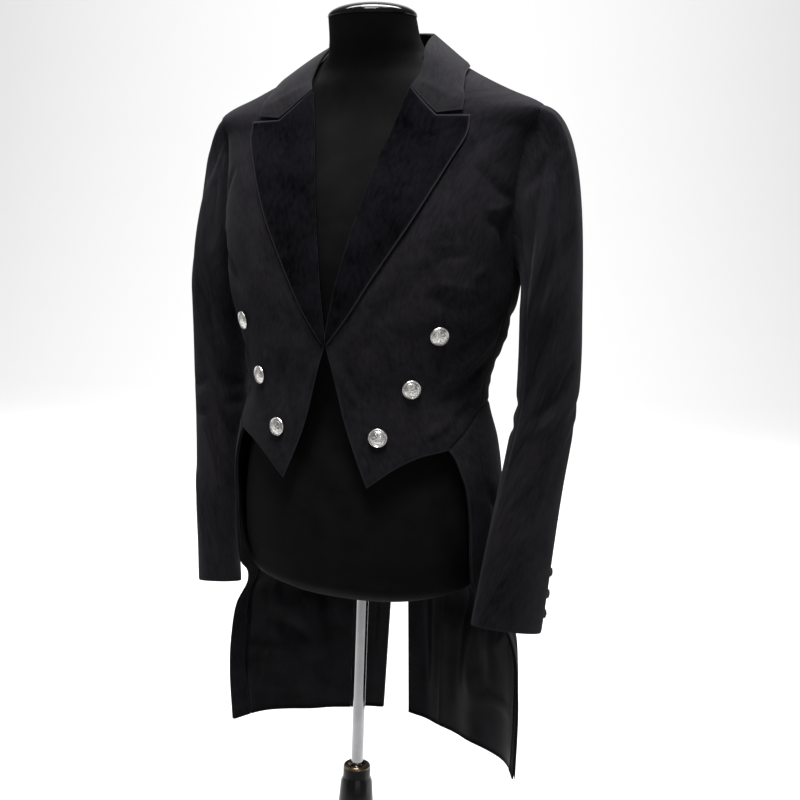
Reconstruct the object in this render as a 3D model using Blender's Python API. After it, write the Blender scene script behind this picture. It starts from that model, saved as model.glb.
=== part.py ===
"""A double-breasted tailcoat on a limbless dress form, with the form's stand.

The coat faces -Y and the wearer's left is +X. The origin is the centre of the stand's underside,
on the floor, with +Z up. Everything is in metres, and angles in the tables are in degrees.

The cloth lies on one smooth body shape, a stack of rings. A place on it is an angle round the
body (0 in front, 90 at the wearer's left, 180 at the back) and a height. Each panel is a grid of
such places between its four edges, and its wall is made from those places moved along the normal.
"""
import math
from collections import namedtuple

import bmesh
import bpy
import numpy as np
from mathutils import Matrix, Vector
from mathutils.bvhtree import BVHTree

# Thicknesses and gaps
CLOTH = 0.0018
VELVET = 0.0024
SATIN = 0.0011
SEAM = 0.0003
LYING = 0.0009
SEATED = 0.0003

# Body shape of the coat's outer face, ring by ring
Ring = namedtuple("Ring", "height half_width front back middle front_power back_power")
COAT_RINGS = [
    Ring(0.520, 0.232, 0.140, 0.139, 0.000, 2.2, 2.0),
    Ring(0.660, 0.229, 0.140, 0.137, 0.000, 2.2, 2.0),
    Ring(0.715, 0.220, 0.140, 0.136, 0.000, 2.2, 2.2),
    Ring(0.755, 0.199, 0.138, 0.135, 0.000, 2.2, 2.9),
    Ring(0.790, 0.187, 0.138, 0.135, 0.000, 2.2, 2.3),
    Ring(0.880, 0.187, 0.136, 0.132, 0.000, 2.1, 2.1),
    Ring(0.960, 0.189, 0.137, 0.127, 0.000, 2.1, 2.1),
    Ring(1.005, 0.182, 0.135, 0.118, 0.000, 2.1, 2.1),
    Ring(1.060, 0.167, 0.136, 0.109, 0.000, 2.1, 2.1),
    Ring(1.130, 0.182, 0.140, 0.116, 0.000, 2.1, 2.2),
    Ring(1.190, 0.198, 0.139, 0.127, 0.000, 2.3, 2.3),
    Ring(1.250, 0.203, 0.129, 0.135, 0.000, 2.6, 2.3),
    Ring(1.310, 0.206, 0.113, 0.138, 0.000, 2.8, 2.3),
    Ring(1.365, 0.209, 0.093, 0.134, 0.000, 2.8, 2.3),
    Ring(1.400, 0.216, 0.077, 0.127, 0.000, 2.7, 2.3),
    Ring(1.428, 0.226, 0.067, 0.118, 0.000, 2.5, 2.2),
    Ring(1.438, 0.209, 0.064, 0.113, 0.000, 2.4, 2.2),
    Ring(1.446, 0.189, 0.061, 0.109, 0.000, 2.3, 2.1),
    Ring(1.463, 0.152, 0.056, 0.098, 0.002, 2.2, 2.0),
    Ring(1.481, 0.118, 0.052, 0.087, 0.006, 2.0, 2.0),
    Ring(1.496, 0.094, 0.050, 0.078, 0.008, 2.0, 2.0),
    Ring(1.512, 0.081, 0.050, 0.071, 0.010, 2.0, 2.0),
]

# The dress form's own rings, inside the coat
FORM_RINGS = [
    Ring(0.790, 0.118, 0.088, 0.092, 0.000, 2.2, 2.2),
    Ring(0.800, 0.146, 0.104, 0.110, 0.000, 2.2, 2.2),
    Ring(0.830, 0.163, 0.114, 0.121, 0.000, 2.2, 2.2),
    Ring(0.890, 0.171, 0.119, 0.122, 0.000, 2.2, 2.2),
    Ring(0.960, 0.168, 0.117, 0.113, 0.000, 2.2, 2.2),
    Ring(1.060, 0.150, 0.109, 0.095, 0.000, 2.2, 2.2),
    Ring(1.130, 0.162, 0.118, 0.101, 0.000, 2.2, 2.2),
    Ring(1.200, 0.182, 0.124, 0.115, 0.000, 2.3, 2.3),
    Ring(1.270, 0.190, 0.114, 0.124, 0.000, 2.5, 2.3),
    Ring(1.335, 0.195, 0.096, 0.126, 0.000, 2.6, 2.3),
    Ring(1.385, 0.201, 0.076, 0.121, 0.000, 2.6, 2.3),
    Ring(1.425, 0.203, 0.060, 0.112, 0.000, 2.3, 2.2),
    Ring(1.446, 0.180, 0.057, 0.104, 0.000, 1.9, 2.1),
    Ring(1.463, 0.140, 0.058, 0.093, 0.000, 1.6, 2.0),
    Ring(1.481, 0.097, 0.057, 0.080, -0.002, 1.5, 2.0),
    Ring(1.496, 0.070, 0.055, 0.070, -0.008, 1.8, 2.0),
    Ring(1.512, 0.061, 0.056, 0.063, -0.016, 2.0, 2.0),
    Ring(1.543, 0.0565, 0.0565, 0.0565, -0.028, 2.0, 2.0),
]

FORM_SIDES = 32
FORM_HEIGHTS = [
    0.790, 0.800, 0.830, 0.880, 0.940, 1.000, 1.060, 1.110, 1.160, 1.210, 1.260, 1.310, 1.355, 1.395, 1.425,
    1.440, 1.455, 1.470, 1.485, 1.498, 1.512, 1.543,
]

# Edges of the fronts: height, and distance from the centre front
Edge = namedtuple("Edge", "height across")
FRONT_EDGE = [
    Edge(0.953, 0.0600), Edge(0.987, 0.0450), Edge(1.016, 0.0335), Edge(1.045, 0.0240),
    Edge(1.074, 0.0165), Edge(1.102, 0.0090), Edge(1.131, 0.0006),
]
ROLL_LINE = [
    Edge(1.131, 0.0006), Edge(1.178, 0.0085), Edge(1.226, 0.0170), Edge(1.273, 0.0265),
    Edge(1.320, 0.0370), Edge(1.368, 0.0480), Edge(1.417, 0.0610), Edge(1.452, 0.0700),
]
LAPEL_EDGE = [
    Edge(1.134, 0.0050), Edge(1.173, 0.0330), Edge(1.211, 0.0560), Edge(1.248, 0.0785),
    Edge(1.286, 0.1010), Edge(1.323, 0.1200), Edge(1.361, 0.1380), Edge(1.393, 0.1515),
    Edge(1.415, 0.1520),
]
NOTCH = Edge(1.417, 0.1100)
COLLAR_CORNER = Edge(1.421, 0.1420)
PANEL_TO_ROLL = 0.0030
NOTCH_OPENING = 0.0022

# Seams in angle round the body and height
Place = namedtuple("Place", "angle height")
FRONT_HEM = [Place(25.0, 0.953), Place(36.0, 0.976), Place(48.0, 0.994), Place(62.0, 1.004)]
WAIST_SEAM = [
    Place(62.0, 1.004), Place(70.0, 1.022), Place(82.0, 1.046), Place(110.0, 1.056), Place(142.0, 1.056),
]
SIDE_SEAM_ANGLE = 86.0
BACK_SEAM = [
    Place(151.0, 0.545), Place(150.0, 0.800), Place(147.0, 0.950), Place(142.0, 1.056),
    Place(139.0, 1.130), Place(131.0, 1.220), Place(121.0, 1.300),
]
TAIL_EDGE = [
    Place(98.6, 0.531), Place(97.0, 0.600), Place(96.5, 0.660), Place(97.0, 0.715), Place(97.5, 0.755),
    Place(93.0, 0.775), Place(85.0, 0.792), Place(78.0, 0.815), Place(75.3, 0.845), Place(73.1, 0.898),
    Place(70.8, 0.936), Place(69.1, 0.956), Place(66.9, 0.975), Place(64.9, 0.991), Place(62.0, 1.004),
]
VENT_TOP = 1.030
VENT_HEM = Place(171.5, 0.553)
NECK_POINT_HEIGHT = 1.500
NAPE_HEIGHT = 1.506

# Armhole: turn round the sleeve (0 on top, 90 in front, 180 under the arm), angle and height
Armhole = namedtuple("Armhole", "turn angle height")
ARMHOLE = [
    Armhole(0.0, 90.0, 1.4300), Armhole(22.0, 86.0, 1.4220), Armhole(44.0, 84.8, 1.3980),
    Armhole(66.0, 83.3, 1.3620), Armhole(88.0, 82.2, 1.3200), Armhole(110.0, 82.3, 1.2750),
    Armhole(132.0, 86.0, 1.2370), Armhole(153.0, 94.5, 1.2260), Armhole(174.0, 103.0, 1.2330),
    Armhole(195.0, 112.5, 1.2600), Armhole(216.0, 121.0, 1.3000), Armhole(240.0, 124.0, 1.3450),
    Armhole(264.0, 122.0, 1.3800), Armhole(288.0, 116.0, 1.4060), Armhole(312.0, 107.5, 1.4220),
    Armhole(336.0, 98.5, 1.4290),
]
FRONT_TURNS = [132.0, 121.0, 110.0, 99.0, 88.0, 77.0, 66.0, 55.0, 44.0, 33.0, 22.0, 11.0, 0.0]
SIDE_TURNS = [132.0, 153.0, 174.0, 195.0, 216.0]
BACK_TURNS = [216.0, 228.0, 240.0, 252.0, 264.0, 276.0, 288.0, 300.0, 312.0, 324.0, 336.0, 348.0, 360.0]
TOP_SLEEVE_TURNS = [-96.0, -84.0, -72.0, -60.0, -48.0, -24.0, 0.0, 22.0, 44.0, 66.0, 77.0, 88.0, 99.0, 110.0]
SLEEVE_SEAM = 0.0007
UNDER_SLEEVE_TURNS = [110.0, 132.0, 153.0, 174.0, 195.0, 216.0, 240.0, 264.0]

# Sleeve sections from under the arm down: centre, half sizes, inward turn of the front end and its rise
Section = namedtuple("Section", "height x y thin wide turn slant")
SLEEVE_SECTIONS = [
    Section(1.180, 0.2425, 0.026, 0.0365, 0.0700, 0.0, 0.00),
    Section(1.120, 0.2435, 0.029, 0.0370, 0.0660, 2.0, 0.00),
    Section(1.060, 0.2430, 0.027, 0.0365, 0.0620, 5.0, 0.00),
    Section(1.000, 0.2380, 0.018, 0.0350, 0.0610, 10.0, 0.00),
    Section(0.940, 0.2330, 0.005, 0.0320, 0.0620, 15.0, 0.03),
    Section(0.880, 0.2290, -0.008, 0.0295, 0.0630, 19.0, 0.09),
    Section(0.818, 0.2235, -0.014, 0.0285, 0.0640, 21.0, 0.18),
    Section(0.762, 0.2180, -0.018, 0.0290, 0.0650, 21.0, 0.26),
]
CAP_ROWS = 6
CAP_SPREAD = 1.4
ARM_ROWS = 11
LEAVING_ANGLES = [
    (0.0, 16.0), (45.0, 48.0), (90.0, 80.0), (180.0, 90.0), (270.0, 64.0), (315.0, 44.0), (360.0, 16.0),
]
CAP_LEAVING = [
    (0.0, 0.180), (45.0, 0.130), (90.0, 0.075), (180.0, 0.022), (270.0, 0.100), (315.0, 0.150), (360.0, 0.180),
]
CAP_ARRIVING = [(0.0, 0.240), (90.0, 0.140), (180.0, 0.040), (270.0, 0.200), (360.0, 0.240)]

# The shoulders sit a little higher on the wearer's left: rise for each metre out, and where it starts
SHOULDER_TILT = 0.045
TILT_STARTS = 1.150
TILT_WHOLE = 1.420

# Soft folds in the body cloth: troughs (negative) and ridges, placed by angle and height
Fold = namedtuple("Fold", "angle height wide tall lean depth")
FOLDS = [
    Fold(112.0, 0.640, 7.0, 0.150, 0.0, 0.0060),
    Fold(130.0, 0.620, 7.0, 0.140, 0.0, -0.0060),
    Fold(160.0, 0.600, 7.0, 0.130, 0.0, 0.0040),
    Fold(100.0, 1.085, 9.0, 0.016, 0.0, -0.0025),
    Fold(150.0, 1.090, 10.0, 0.015, 0.0, -0.0025),
]

# Collar: the fold line by angle round the neck, and the leaf's lower edge on the body
CollarRow = namedtuple("CollarRow", "angle fold_radius fold_height edge_angle edge_height")
COLLAR_CENTRE = 0.002
COLLAR_ROWS = [
    CollarRow(56.0, 0.0905, 1.466, 68.6, 1.433),
    CollarRow(68.0, 0.0800, 1.493, 72.0, 1.449),
    CollarRow(80.0, 0.0720, 1.509, 79.0, 1.468),
    CollarRow(92.0, 0.0690, 1.518, 92.0, 1.480),
    CollarRow(112.0, 0.0690, 1.526, 113.0, 1.482),
    CollarRow(136.0, 0.0700, 1.531, 136.0, 1.479),
    CollarRow(158.0, 0.0710, 1.534, 158.0, 1.476),
    CollarRow(180.0, 0.0715, 1.535, 180.0, 1.475),
]
COLLAR_SHARES = [0.0, 0.10, 0.34, 0.67, 1.0]
COLLAR_SWELL = 0.0015
COLLAR_LYING = 0.0022
STAND_BELOW_FOLD = 0.0027
STAND_BEHIND_FOLD = 0.0022
STAND_THICKNESS = 0.0016

# Buttons: places of the front ones, and those by the cuff's back seam
FRONT_BUTTONS = [Edge(1.151, 0.138), Edge(1.082, 0.107), Edge(1.019, 0.071)]
FRONT_BUTTON_RADIUS = 0.0122
CUFF_BUTTON_HEIGHTS = [0.842, 0.815, 0.788]
CUFF_BUTTON_TURN = -78.0
CUFF_BUTTON_RADIUS = 0.0074
CUFF_BUTTON_LIFT = 0.0007

# Stand
POLE_RADIUS = 0.0085
POLE_FOOT = 0.290
POLE_SLIP = 0.0004
CLAMP_TOP = 0.520
CLAMP_FOOT = 0.440
CLAMP_TOP_RADIUS = 0.0193
CLAMP_FOOT_RADIUS = 0.0245
COLUMN_RADIUS = 0.0170
COLUMN_BORE = 0.0120
COLUMN_FOOT = 0.0300
BASE_RADIUS = 0.1900
BASE_THICKNESS = 0.0160
BASE_HUB_RADIUS = 0.0400
BASE_HUB_HEIGHT = 0.0400
FORM_FLOOR = 0.790
CAP_HEIGHT = 0.0190

COLOURS = {
    "twill": ((0.012, 0.012, 0.014), 0.85, 0.0),
    "velvet": ((0.004, 0.004, 0.005), 0.95, 0.0),
    "satin": ((0.008, 0.008, 0.010), 0.40, 0.0),
    "pewter": ((0.55, 0.54, 0.52), 0.30, 1.0),
    "cover": ((0.010, 0.010, 0.011), 0.80, 0.0),
    "gloss": ((0.008, 0.008, 0.009), 0.20, 0.0),
    "chrome": ((0.75, 0.75, 0.76), 0.10, 1.0),
    "plastic": ((0.012, 0.012, 0.013), 0.45, 0.0),
    "iron": ((0.020, 0.020, 0.021), 0.50, 0.0),
}


def smooth_table(knots, values, where):
    """Value at a place in a table, along a smooth curve through its rows."""
    knots = np.asarray(knots, dtype=float)
    values = np.asarray(values, dtype=float)
    where = float(np.clip(where, knots[0], knots[-1]))
    index = int(np.clip(np.searchsorted(knots, where) - 1, 0, len(knots) - 2))
    slopes = np.gradient(values, knots, axis=0)
    span = knots[index + 1] - knots[index]
    share = (where - knots[index]) / span
    start = values[index] * (1 + 2 * share) * (1 - share) ** 2 + slopes[index] * span * share * (1 - share) ** 2
    end = values[index + 1] * share**2 * (3 - 2 * share) + slopes[index + 1] * span * share**2 * (share - 1)
    return start + end


class Body:
    """A stack of rings, read as a smooth surface by angle and height."""

    def __init__(self, rings, folds=()):
        self.heights = [ring.height for ring in rings]
        self.values = [ring[1:] for ring in rings]
        self.folds = folds

    def drape(self, angle, height):
        """How far the folds lift the cloth at a place."""
        lift = 0.0
        for fold in self.folds:
            across = (abs(angle) - fold.angle - fold.lean * (height - fold.height)) / fold.wide
            along = (height - fold.height) / fold.tall
            lift += fold.depth * math.exp(-(across**2) - along**2)
        return lift

    def base_point(self, angle, height):
        """Point of the surface at an angle in degrees and a height."""
        half_width, front, back, middle, front_power, back_power = smooth_table(self.heights, self.values, height)
        turn = math.radians(angle)
        facing = math.cos(turn) > 0
        depth, power = (front, front_power) if facing else (back, back_power)
        total = (abs(math.sin(turn)) / half_width) ** power + (abs(math.cos(turn)) / depth) ** power
        reach = total ** (-1 / power) + self.drape(angle, height)
        return np.array([reach * math.sin(turn), middle - reach * math.cos(turn), height])

    def normal(self, angle, height):
        """Outward unit normal at a place."""
        step_angle, step_height = 0.6, 0.002
        round_body = self.base_point(angle + step_angle, height) - self.base_point(angle - step_angle, height)
        up_body = self.base_point(angle, height + step_height) - self.base_point(angle, height - step_height)
        across = np.cross(round_body, up_body)
        return across / np.linalg.norm(across)

    def point(self, angle, height, out=0.0):
        """Point at a place, moved out along the normal."""
        return self.base_point(angle, height) + self.normal(angle, height) * out

    def angle_of(self, across, height):
        """Angle in front at which the surface is a distance from the centre front."""
        low, high = 0.0, 89.0
        for _ in range(40):
            middle = (low + high) / 2
            if self.base_point(middle, height)[0] < across:
                low = middle
            else:
                high = middle
        return (low + high) / 2

    def degrees(self, distance, angle, height):
        """A distance round the body at a place, as an angle."""
        reach = self.base_point(angle, height)[:2]
        return math.degrees(distance / np.linalg.norm(reach))


COAT = Body(COAT_RINGS, FOLDS)
FORM = Body(FORM_RINGS)


def curve_places(rows, count):
    """Places spread evenly along a table of places."""
    shares = np.linspace(0, 1, len(rows))
    return [smooth_table(shares, rows, share) for share in np.linspace(0, 1, count + 1)]


def places_at_heights(rows, heights):
    """Places of a table at chosen heights."""
    knots = [row.height for row in rows]
    return [np.array([smooth_table(knots, [row.angle for row in rows], height), height]) for height in heights]


def places_at_angles(rows, angles):
    """Places of a table at chosen angles."""
    knots = [row.angle for row in rows]
    return [np.array([angle, smooth_table(knots, [row.height for row in rows], angle)]) for angle in angles]


def edge_place(rows, height, inset=0.0):
    """Place of a front edge at a height, moved in from the centre front."""
    across = smooth_table([row.height for row in rows], [row.across for row in rows], height) + inset
    return np.array([COAT.angle_of(across, height), height])


def armhole_place(turn):
    """Place of the armhole at a turn round the sleeve."""
    rows = ARMHOLE[-2:] + ARMHOLE + ARMHOLE[:3]
    turns = [row.turn - 360 for row in ARMHOLE[-2:]] + [row.turn for row in ARMHOLE]
    turns += [row.turn + 360 for row in ARMHOLE[:3]]
    return smooth_table(turns, [row[1:] for row in rows], turn % 360.0)


def patch(bottom, top, left, right, fade=1.0):
    """Grid of places between four edges that meet at their ends.

    The bends of the bottom and top edges fade out over the rows, the sooner the higher the fade.
    """
    bottom, top, left, right = (np.array(edge, dtype=float) for edge in (bottom, top, left, right))
    rows = []
    for row, up in enumerate(np.linspace(0, 1, len(left))):
        line = []
        for column, along in enumerate(np.linspace(0, 1, len(bottom))):
            across_edges = left[row] * (1 - along) + right[row] * along
            bottom_bend = bottom[column] - bottom[0] * (1 - along) - bottom[-1] * along
            top_bend = top[column] - top[0] * (1 - along) - top[-1] * along
            line.append(across_edges + bottom_bend * (1 - up) ** fade + top_bend * up**fade)
        rows.append(line)
    return np.array(rows)


def material(name):
    """The material of a finish, made once."""
    found = bpy.data.materials.get(name)
    if found:
        return found
    colour, roughness, metallic = COLOURS[name]
    made = bpy.data.materials.new(name)
    made.use_nodes = True
    shader = made.node_tree.nodes["Principled BSDF"]
    shader.inputs["Base Color"].default_value = (*colour, 1.0)
    shader.inputs["Roughness"].default_value = roughness
    shader.inputs["Metallic"].default_value = metallic
    made.diffuse_color = (*colour, 1.0)
    return made


def add_object(name, mesh_maker, finish):
    """A named object from a bmesh, with its faces out and a material of its own."""
    bmesh.ops.recalc_face_normals(mesh_maker, faces=mesh_maker.faces)
    if mesh_maker.calc_volume(signed=True) < 0:
        bmesh.ops.reverse_faces(mesh_maker, faces=mesh_maker.faces)
    mesh = bpy.data.meshes.new(name)
    mesh_maker.to_mesh(mesh)
    mesh_maker.free()
    mesh.shade_smooth()
    mesh.set_sharp_from_angle(angle=math.radians(40))
    made = bpy.data.objects.new(name, mesh)
    own = material(finish).copy()
    own.name = f"{name}_{finish}"
    mesh.materials.append(own)
    bpy.context.scene.collection.objects.link(made)
    return made


def wall(name, outer, inner, finish):
    """A closed wall between two matching grids of points."""
    outer = np.asarray(outer)
    inner = np.asarray(inner)
    rows, columns = outer.shape[:2]
    shell = bmesh.new()
    bmesh.ops.create_grid(shell, x_segments=columns - 1, y_segments=rows - 1, size=1.0)
    index = shell.verts.layers.int.new("place")
    for number, vertex in enumerate(shell.verts):
        vertex[index] = number
    faces = list(shell.faces)
    made = bmesh.ops.extrude_face_region(shell, geom=faces, use_keep_orig=True)
    moved = {item for item in made["geom"] if isinstance(item, bmesh.types.BMVert)}
    for vertex in shell.verts:
        row, column = divmod(vertex[index], columns)
        vertex.co = Vector(inner[row, column] if vertex in moved else outer[row, column])
    bmesh.ops.triangulate(shell, faces=shell.faces, quad_method="FIXED")
    return add_object(name, shell, finish)


def cloth(name, places, finish="twill", out=0.0, thickness=CLOTH, side=1):
    """A wall of cloth on the coat's body shape; side -1 mirrors it to the wearer's right."""
    outer = [[COAT.point(*place, out) for place in row] for row in places]
    inner = [[COAT.point(*place, out - thickness) for place in row] for row in places]
    flip = np.array([side, 1, 1])
    return wall(name, np.array(outer) * flip, np.array(inner) * flip, finish)


def inset_edge(edge, distance):
    """An edge of places moved round the body by a distance."""
    return [np.array([place[0] + COAT.degrees(distance, *place), place[1]]) for place in edge]


def raised_edge(edge, distance):
    """An edge of places moved up by a distance."""
    return [np.array([place[0], place[1] + distance]) for place in edge]


HALF_SEAM = SEAM / 2
FRONT_HEM_COLUMNS = 5
FRONT_WAIST_ANGLES = [62.0, 69.0, 77.0, SIDE_SEAM_ANGLE]
SIDE_WAIST_ANGLES = [SIDE_SEAM_ANGLE, 98.0, 112.0, 127.0, 142.0]
SIDE_HEIGHTS = [1.038, 1.070, 1.105, 1.140, 1.172, 1.204, 1.233]
SKIRT_ROWS = 11
CLOSURE_ROW = 6
ROLL_SETTLES = 0.2
NECKLINE_CURVE = 0.8
BACK_SHOULDER_COLUMNS = 3
BACK_NECK_COLUMNS = 4
BACK_TOP_FADE = 4.0
LAPEL_ROWS = 13
LAPEL_COLUMNS = 5
LAPEL_START = 0.002


def front_places():
    """Grid of a front: front edge and roll line, hem and waist seam, side seam and armhole, shoulder."""
    hem = curve_places(FRONT_HEM, FRONT_HEM_COLUMNS)
    hem[0] = edge_place(FRONT_EDGE, FRONT_EDGE[0].height)
    waist = raised_edge(places_at_angles(WAIST_SEAM, FRONT_WAIST_ANGLES), HALF_SEAM)
    bottom = hem[:-1] + waist
    side_seam = [np.array([SIDE_SEAM_ANGLE, height]) for height in SIDE_HEIGHTS]
    side_seam[0] = bottom[-1]
    side_seam = inset_edge(side_seam, -HALF_SEAM)
    bottom[-1] = side_seam[0]
    armhole = [armhole_place(turn) for turn in FRONT_TURNS]
    armhole[0] = side_seam[-1]
    armhole[-1] = armhole[-1] + [-COAT.degrees(HALF_SEAM, *armhole[-1]), 0]
    right = side_seam + armhole[1:]
    rows = len(right) - 1
    lower = [edge_place(FRONT_EDGE, height)
             for height in np.linspace(FRONT_EDGE[0].height, ROLL_LINE[0].height, CLOSURE_ROW + 1)]
    upper = []
    neck = np.array([90.0, NECK_POINT_HEIGHT])
    for share in np.linspace(0, 1, rows - CLOSURE_ROW + 1)[1:]:
        height = ROLL_LINE[0].height + (neck[1] - ROLL_LINE[0].height) * share
        if height <= ROLL_LINE[-1].height:
            upper.append(edge_place(ROLL_LINE, height, PANEL_TO_ROLL * min(1.0, share / ROLL_SETTLES)))
        else:
            start = edge_place(ROLL_LINE, ROLL_LINE[-1].height, PANEL_TO_ROLL)
            climb = (height - start[1]) / (neck[1] - start[1])
            upper.append(start + (neck - start) * np.array([climb**NECKLINE_CURVE, climb]))
    left = lower + upper
    top_heights = np.linspace(NECK_POINT_HEIGHT, armhole[-1][1], len(bottom))
    top = [np.array([90 - COAT.degrees(HALF_SEAM, 90, height), height]) for height in top_heights]
    left[-1] = top[0]
    return patch(bottom, top, left, right)


def side_places():
    """Grid of the side body under the arm, down to the waist seam."""
    bottom = raised_edge(places_at_angles(WAIST_SEAM, SIDE_WAIST_ANGLES), HALF_SEAM)
    top = [armhole_place(turn) for turn in SIDE_TURNS]
    left = [np.array([SIDE_SEAM_ANGLE, height]) for height in SIDE_HEIGHTS]
    right = places_at_heights(BACK_SEAM, side_back_heights())
    left[0], left[-1] = bottom[0], top[0]
    right[0], right[-1] = bottom[-1], top[-1]
    left = inset_edge(left, HALF_SEAM)
    right = inset_edge(right, -HALF_SEAM)
    bottom[0], top[0], bottom[-1], top[-1] = left[0], left[-1], right[0], right[-1]
    return patch(bottom, top, left, right)


def side_back_heights():
    """Heights of the rows along the seam between the side body and the back."""
    return np.linspace(WAIST_SEAM[-1].height, BACK_SEAM[-1].height, len(SIDE_HEIGHTS))


def skirt_heights(bottom, top):
    """Heights of the tail's rows from its hem to the waist seam."""
    return np.linspace(bottom, top, SKIRT_ROWS + 1)


def tail_places():
    """Grid of the tail's skirt: cut-away front edge, hem, seam to the back and waist seam."""
    angles = FRONT_WAIST_ANGLES + SIDE_WAIST_ANGLES[1:]
    top = raised_edge(places_at_angles(WAIST_SEAM, angles), -HALF_SEAM)
    left = places_at_heights(TAIL_EDGE, skirt_heights(TAIL_EDGE[0].height, TAIL_EDGE[-1].height))
    right = places_at_heights(BACK_SEAM, skirt_heights(BACK_SEAM[0].height, WAIST_SEAM[-1].height))
    left[-1], right[-1] = top[0], top[-1]
    right = inset_edge(right, -HALF_SEAM)
    top[-1] = right[-1]
    bottom = [left[0] + (right[0] - left[0]) * share for share in np.linspace(0, 1, len(top))]
    return patch(bottom, top, left, right)


def back_places():
    """Grid of a back, whole from the shoulder and neck down to the tail's hem."""
    lower = list(skirt_heights(BACK_SEAM[0].height, WAIST_SEAM[-1].height))
    seam_heights = lower + list(side_back_heights())[1:]
    seam = places_at_heights(BACK_SEAM, seam_heights)
    seam = inset_edge(seam, HALF_SEAM)
    armhole = [armhole_place(turn) for turn in BACK_TURNS]
    armhole[-1] = armhole[-1] + [COAT.degrees(HALF_SEAM, *armhole[-1]), 0]
    left = seam + armhole[1:]
    rows = len(left) - 1
    right = []
    for height in np.linspace(VENT_HEM.height, NAPE_HEIGHT, rows + 1):
        opening = max(0.0, (VENT_TOP - height) / (VENT_TOP - VENT_HEM.height))
        centre = 180 - COAT.degrees(HALF_SEAM, 180, height)
        right.append(np.array([centre - (180 - VENT_HEM.angle) * opening**0.8, height]))
    start = armhole[-1]
    neck = np.array([90 + COAT.degrees(HALF_SEAM, 90, NECK_POINT_HEIGHT), NECK_POINT_HEIGHT])
    top = []
    for share in np.linspace(0, 1, BACK_SHOULDER_COLUMNS + 1):
        height = start[1] + (neck[1] - start[1]) * share
        top.append(np.array([90 + COAT.degrees(HALF_SEAM, 90, height), height]))
    for share in np.linspace(0, 1, BACK_NECK_COLUMNS + 1)[1:]:
        top.append(neck + (right[-1] - neck) * share)
    left[-1] = top[0]
    bottom = [left[0] + (right[0] - left[0]) * share for share in np.linspace(0, 1, len(top))]
    return patch(bottom, top, left, right, BACK_TOP_FADE)


def lapel_places():
    """Grid of a lapel: roll line, outer edge, and the gorge and peak along its top."""
    left = [edge_place(ROLL_LINE, height)
            for height in np.linspace(ROLL_LINE[0].height + LAPEL_START, ROLL_LINE[-1].height, LAPEL_ROWS + 1)]
    right = [edge_place(LAPEL_EDGE, height)
             for height in np.linspace(LAPEL_EDGE[0].height, LAPEL_EDGE[-1].height, LAPEL_ROWS + 1)]
    notch_height = NOTCH.height - NOTCH_OPENING / 2
    notch = np.array([COAT.angle_of(NOTCH.across, notch_height), notch_height])
    gorge = [left[-1] + (notch - left[-1]) * share for share in np.linspace(0, 1, 3)]
    peak = [notch + (right[-1] - notch) * share for share in np.linspace(0, 1, LAPEL_COLUMNS - 1)]
    top = gorge + peak[1:]
    bottom = [left[0] + (right[0] - left[0]) * share for share in np.linspace(0, 1, len(top))]
    return patch(bottom, top, left, right)


def sleeve_section(height_share):
    """Centre, half sizes and turn of the sleeve at a share of its length below the cap."""
    knots = np.linspace(0, 1, len(SLEEVE_SECTIONS))
    return Section(*smooth_table(knots, SLEEVE_SECTIONS, height_share))


def section_point(share, turn):
    """Point of the sleeve's tube below the cap."""
    section = sleeve_section(share)
    around = math.radians(turn)
    out, ahead = section.thin * math.cos(around), section.wide * math.sin(around)
    lean = math.radians(section.turn)
    x = section.x + out * math.cos(lean) - ahead * math.sin(lean)
    y = section.y - out * math.sin(lean) - ahead * math.cos(lean)
    return np.array([x, y, section.height + section.slant * ahead])


def table_at(rows, where):
    """A value from a two-column table."""
    return float(smooth_table([row[0] for row in rows], [row[1] for row in rows], where))


def sleeve_point(row, turn):
    """Point of the sleeve's outer face: the cap's rows run from the armhole to the first section."""
    if row >= CAP_ROWS:
        return section_point((row - CAP_ROWS) / ARM_ROWS, turn)
    place = armhole_place(turn)
    before, after = armhole_place(turn - 3), armhole_place(turn + 3)
    along = COAT.base_point(*after) - COAT.base_point(*before)
    along /= np.linalg.norm(along)
    normal = COAT.normal(*place)
    into = np.cross(normal, along)
    lean = math.radians(table_at(LEAVING_ANGLES, turn % 360.0))
    leaving = into * math.cos(lean) + normal * math.sin(lean)
    start = COAT.base_point(*place) + into * SLEEVE_SEAM
    end = section_point(0.0, turn)
    down = section_point(0.02, turn) - end
    down /= np.linalg.norm(down)
    leave = leaving * table_at(CAP_LEAVING, turn % 360.0)
    arrive = down * table_at(CAP_ARRIVING, turn % 360.0)
    share = (row / CAP_ROWS) ** CAP_SPREAD
    point = start * (1 + 2 * share) * (1 - share) ** 2 + leave * share * (1 - share) ** 2
    return point + end * share**2 * (3 - 2 * share) + arrive * share**2 * (share - 1)


def sleeve_normal(row, turn):
    """Outward normal of the sleeve."""
    low, high = max(row - 0.02, 0.0), min(row + 0.02, CAP_ROWS + ARM_ROWS)
    length = sleeve_point(high, turn) - sleeve_point(low, turn)
    girth = sleeve_point(row, turn + 1) - sleeve_point(row, turn - 1)
    across = np.cross(girth, length)
    return across / np.linalg.norm(across)


def sleeve_piece(name, turns, side):
    """One cut piece of a sleeve, from the armhole to the cuff."""
    outer, inner = [], []
    for row in range(CAP_ROWS + ARM_ROWS + 1):
        outer_row, inner_row = [], []
        for column, turn in enumerate(turns):
            nudge = {0: 1, len(turns) - 1: -1}.get(column, 0)
            girth = np.linalg.norm(sleeve_point(row, turn + 1) - sleeve_point(row, turn - 1)) / 2
            placed = turn + nudge * HALF_SEAM / girth
            point = sleeve_point(row, placed)
            outer_row.append(point)
            inner_row.append(point - sleeve_normal(row, placed) * CLOTH)
        outer.append(outer_row)
        inner.append(inner_row)
    flip = np.array([side, 1, 1])
    return wall(name, np.array(outer) * flip, np.array(inner) * flip, "twill")


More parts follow.
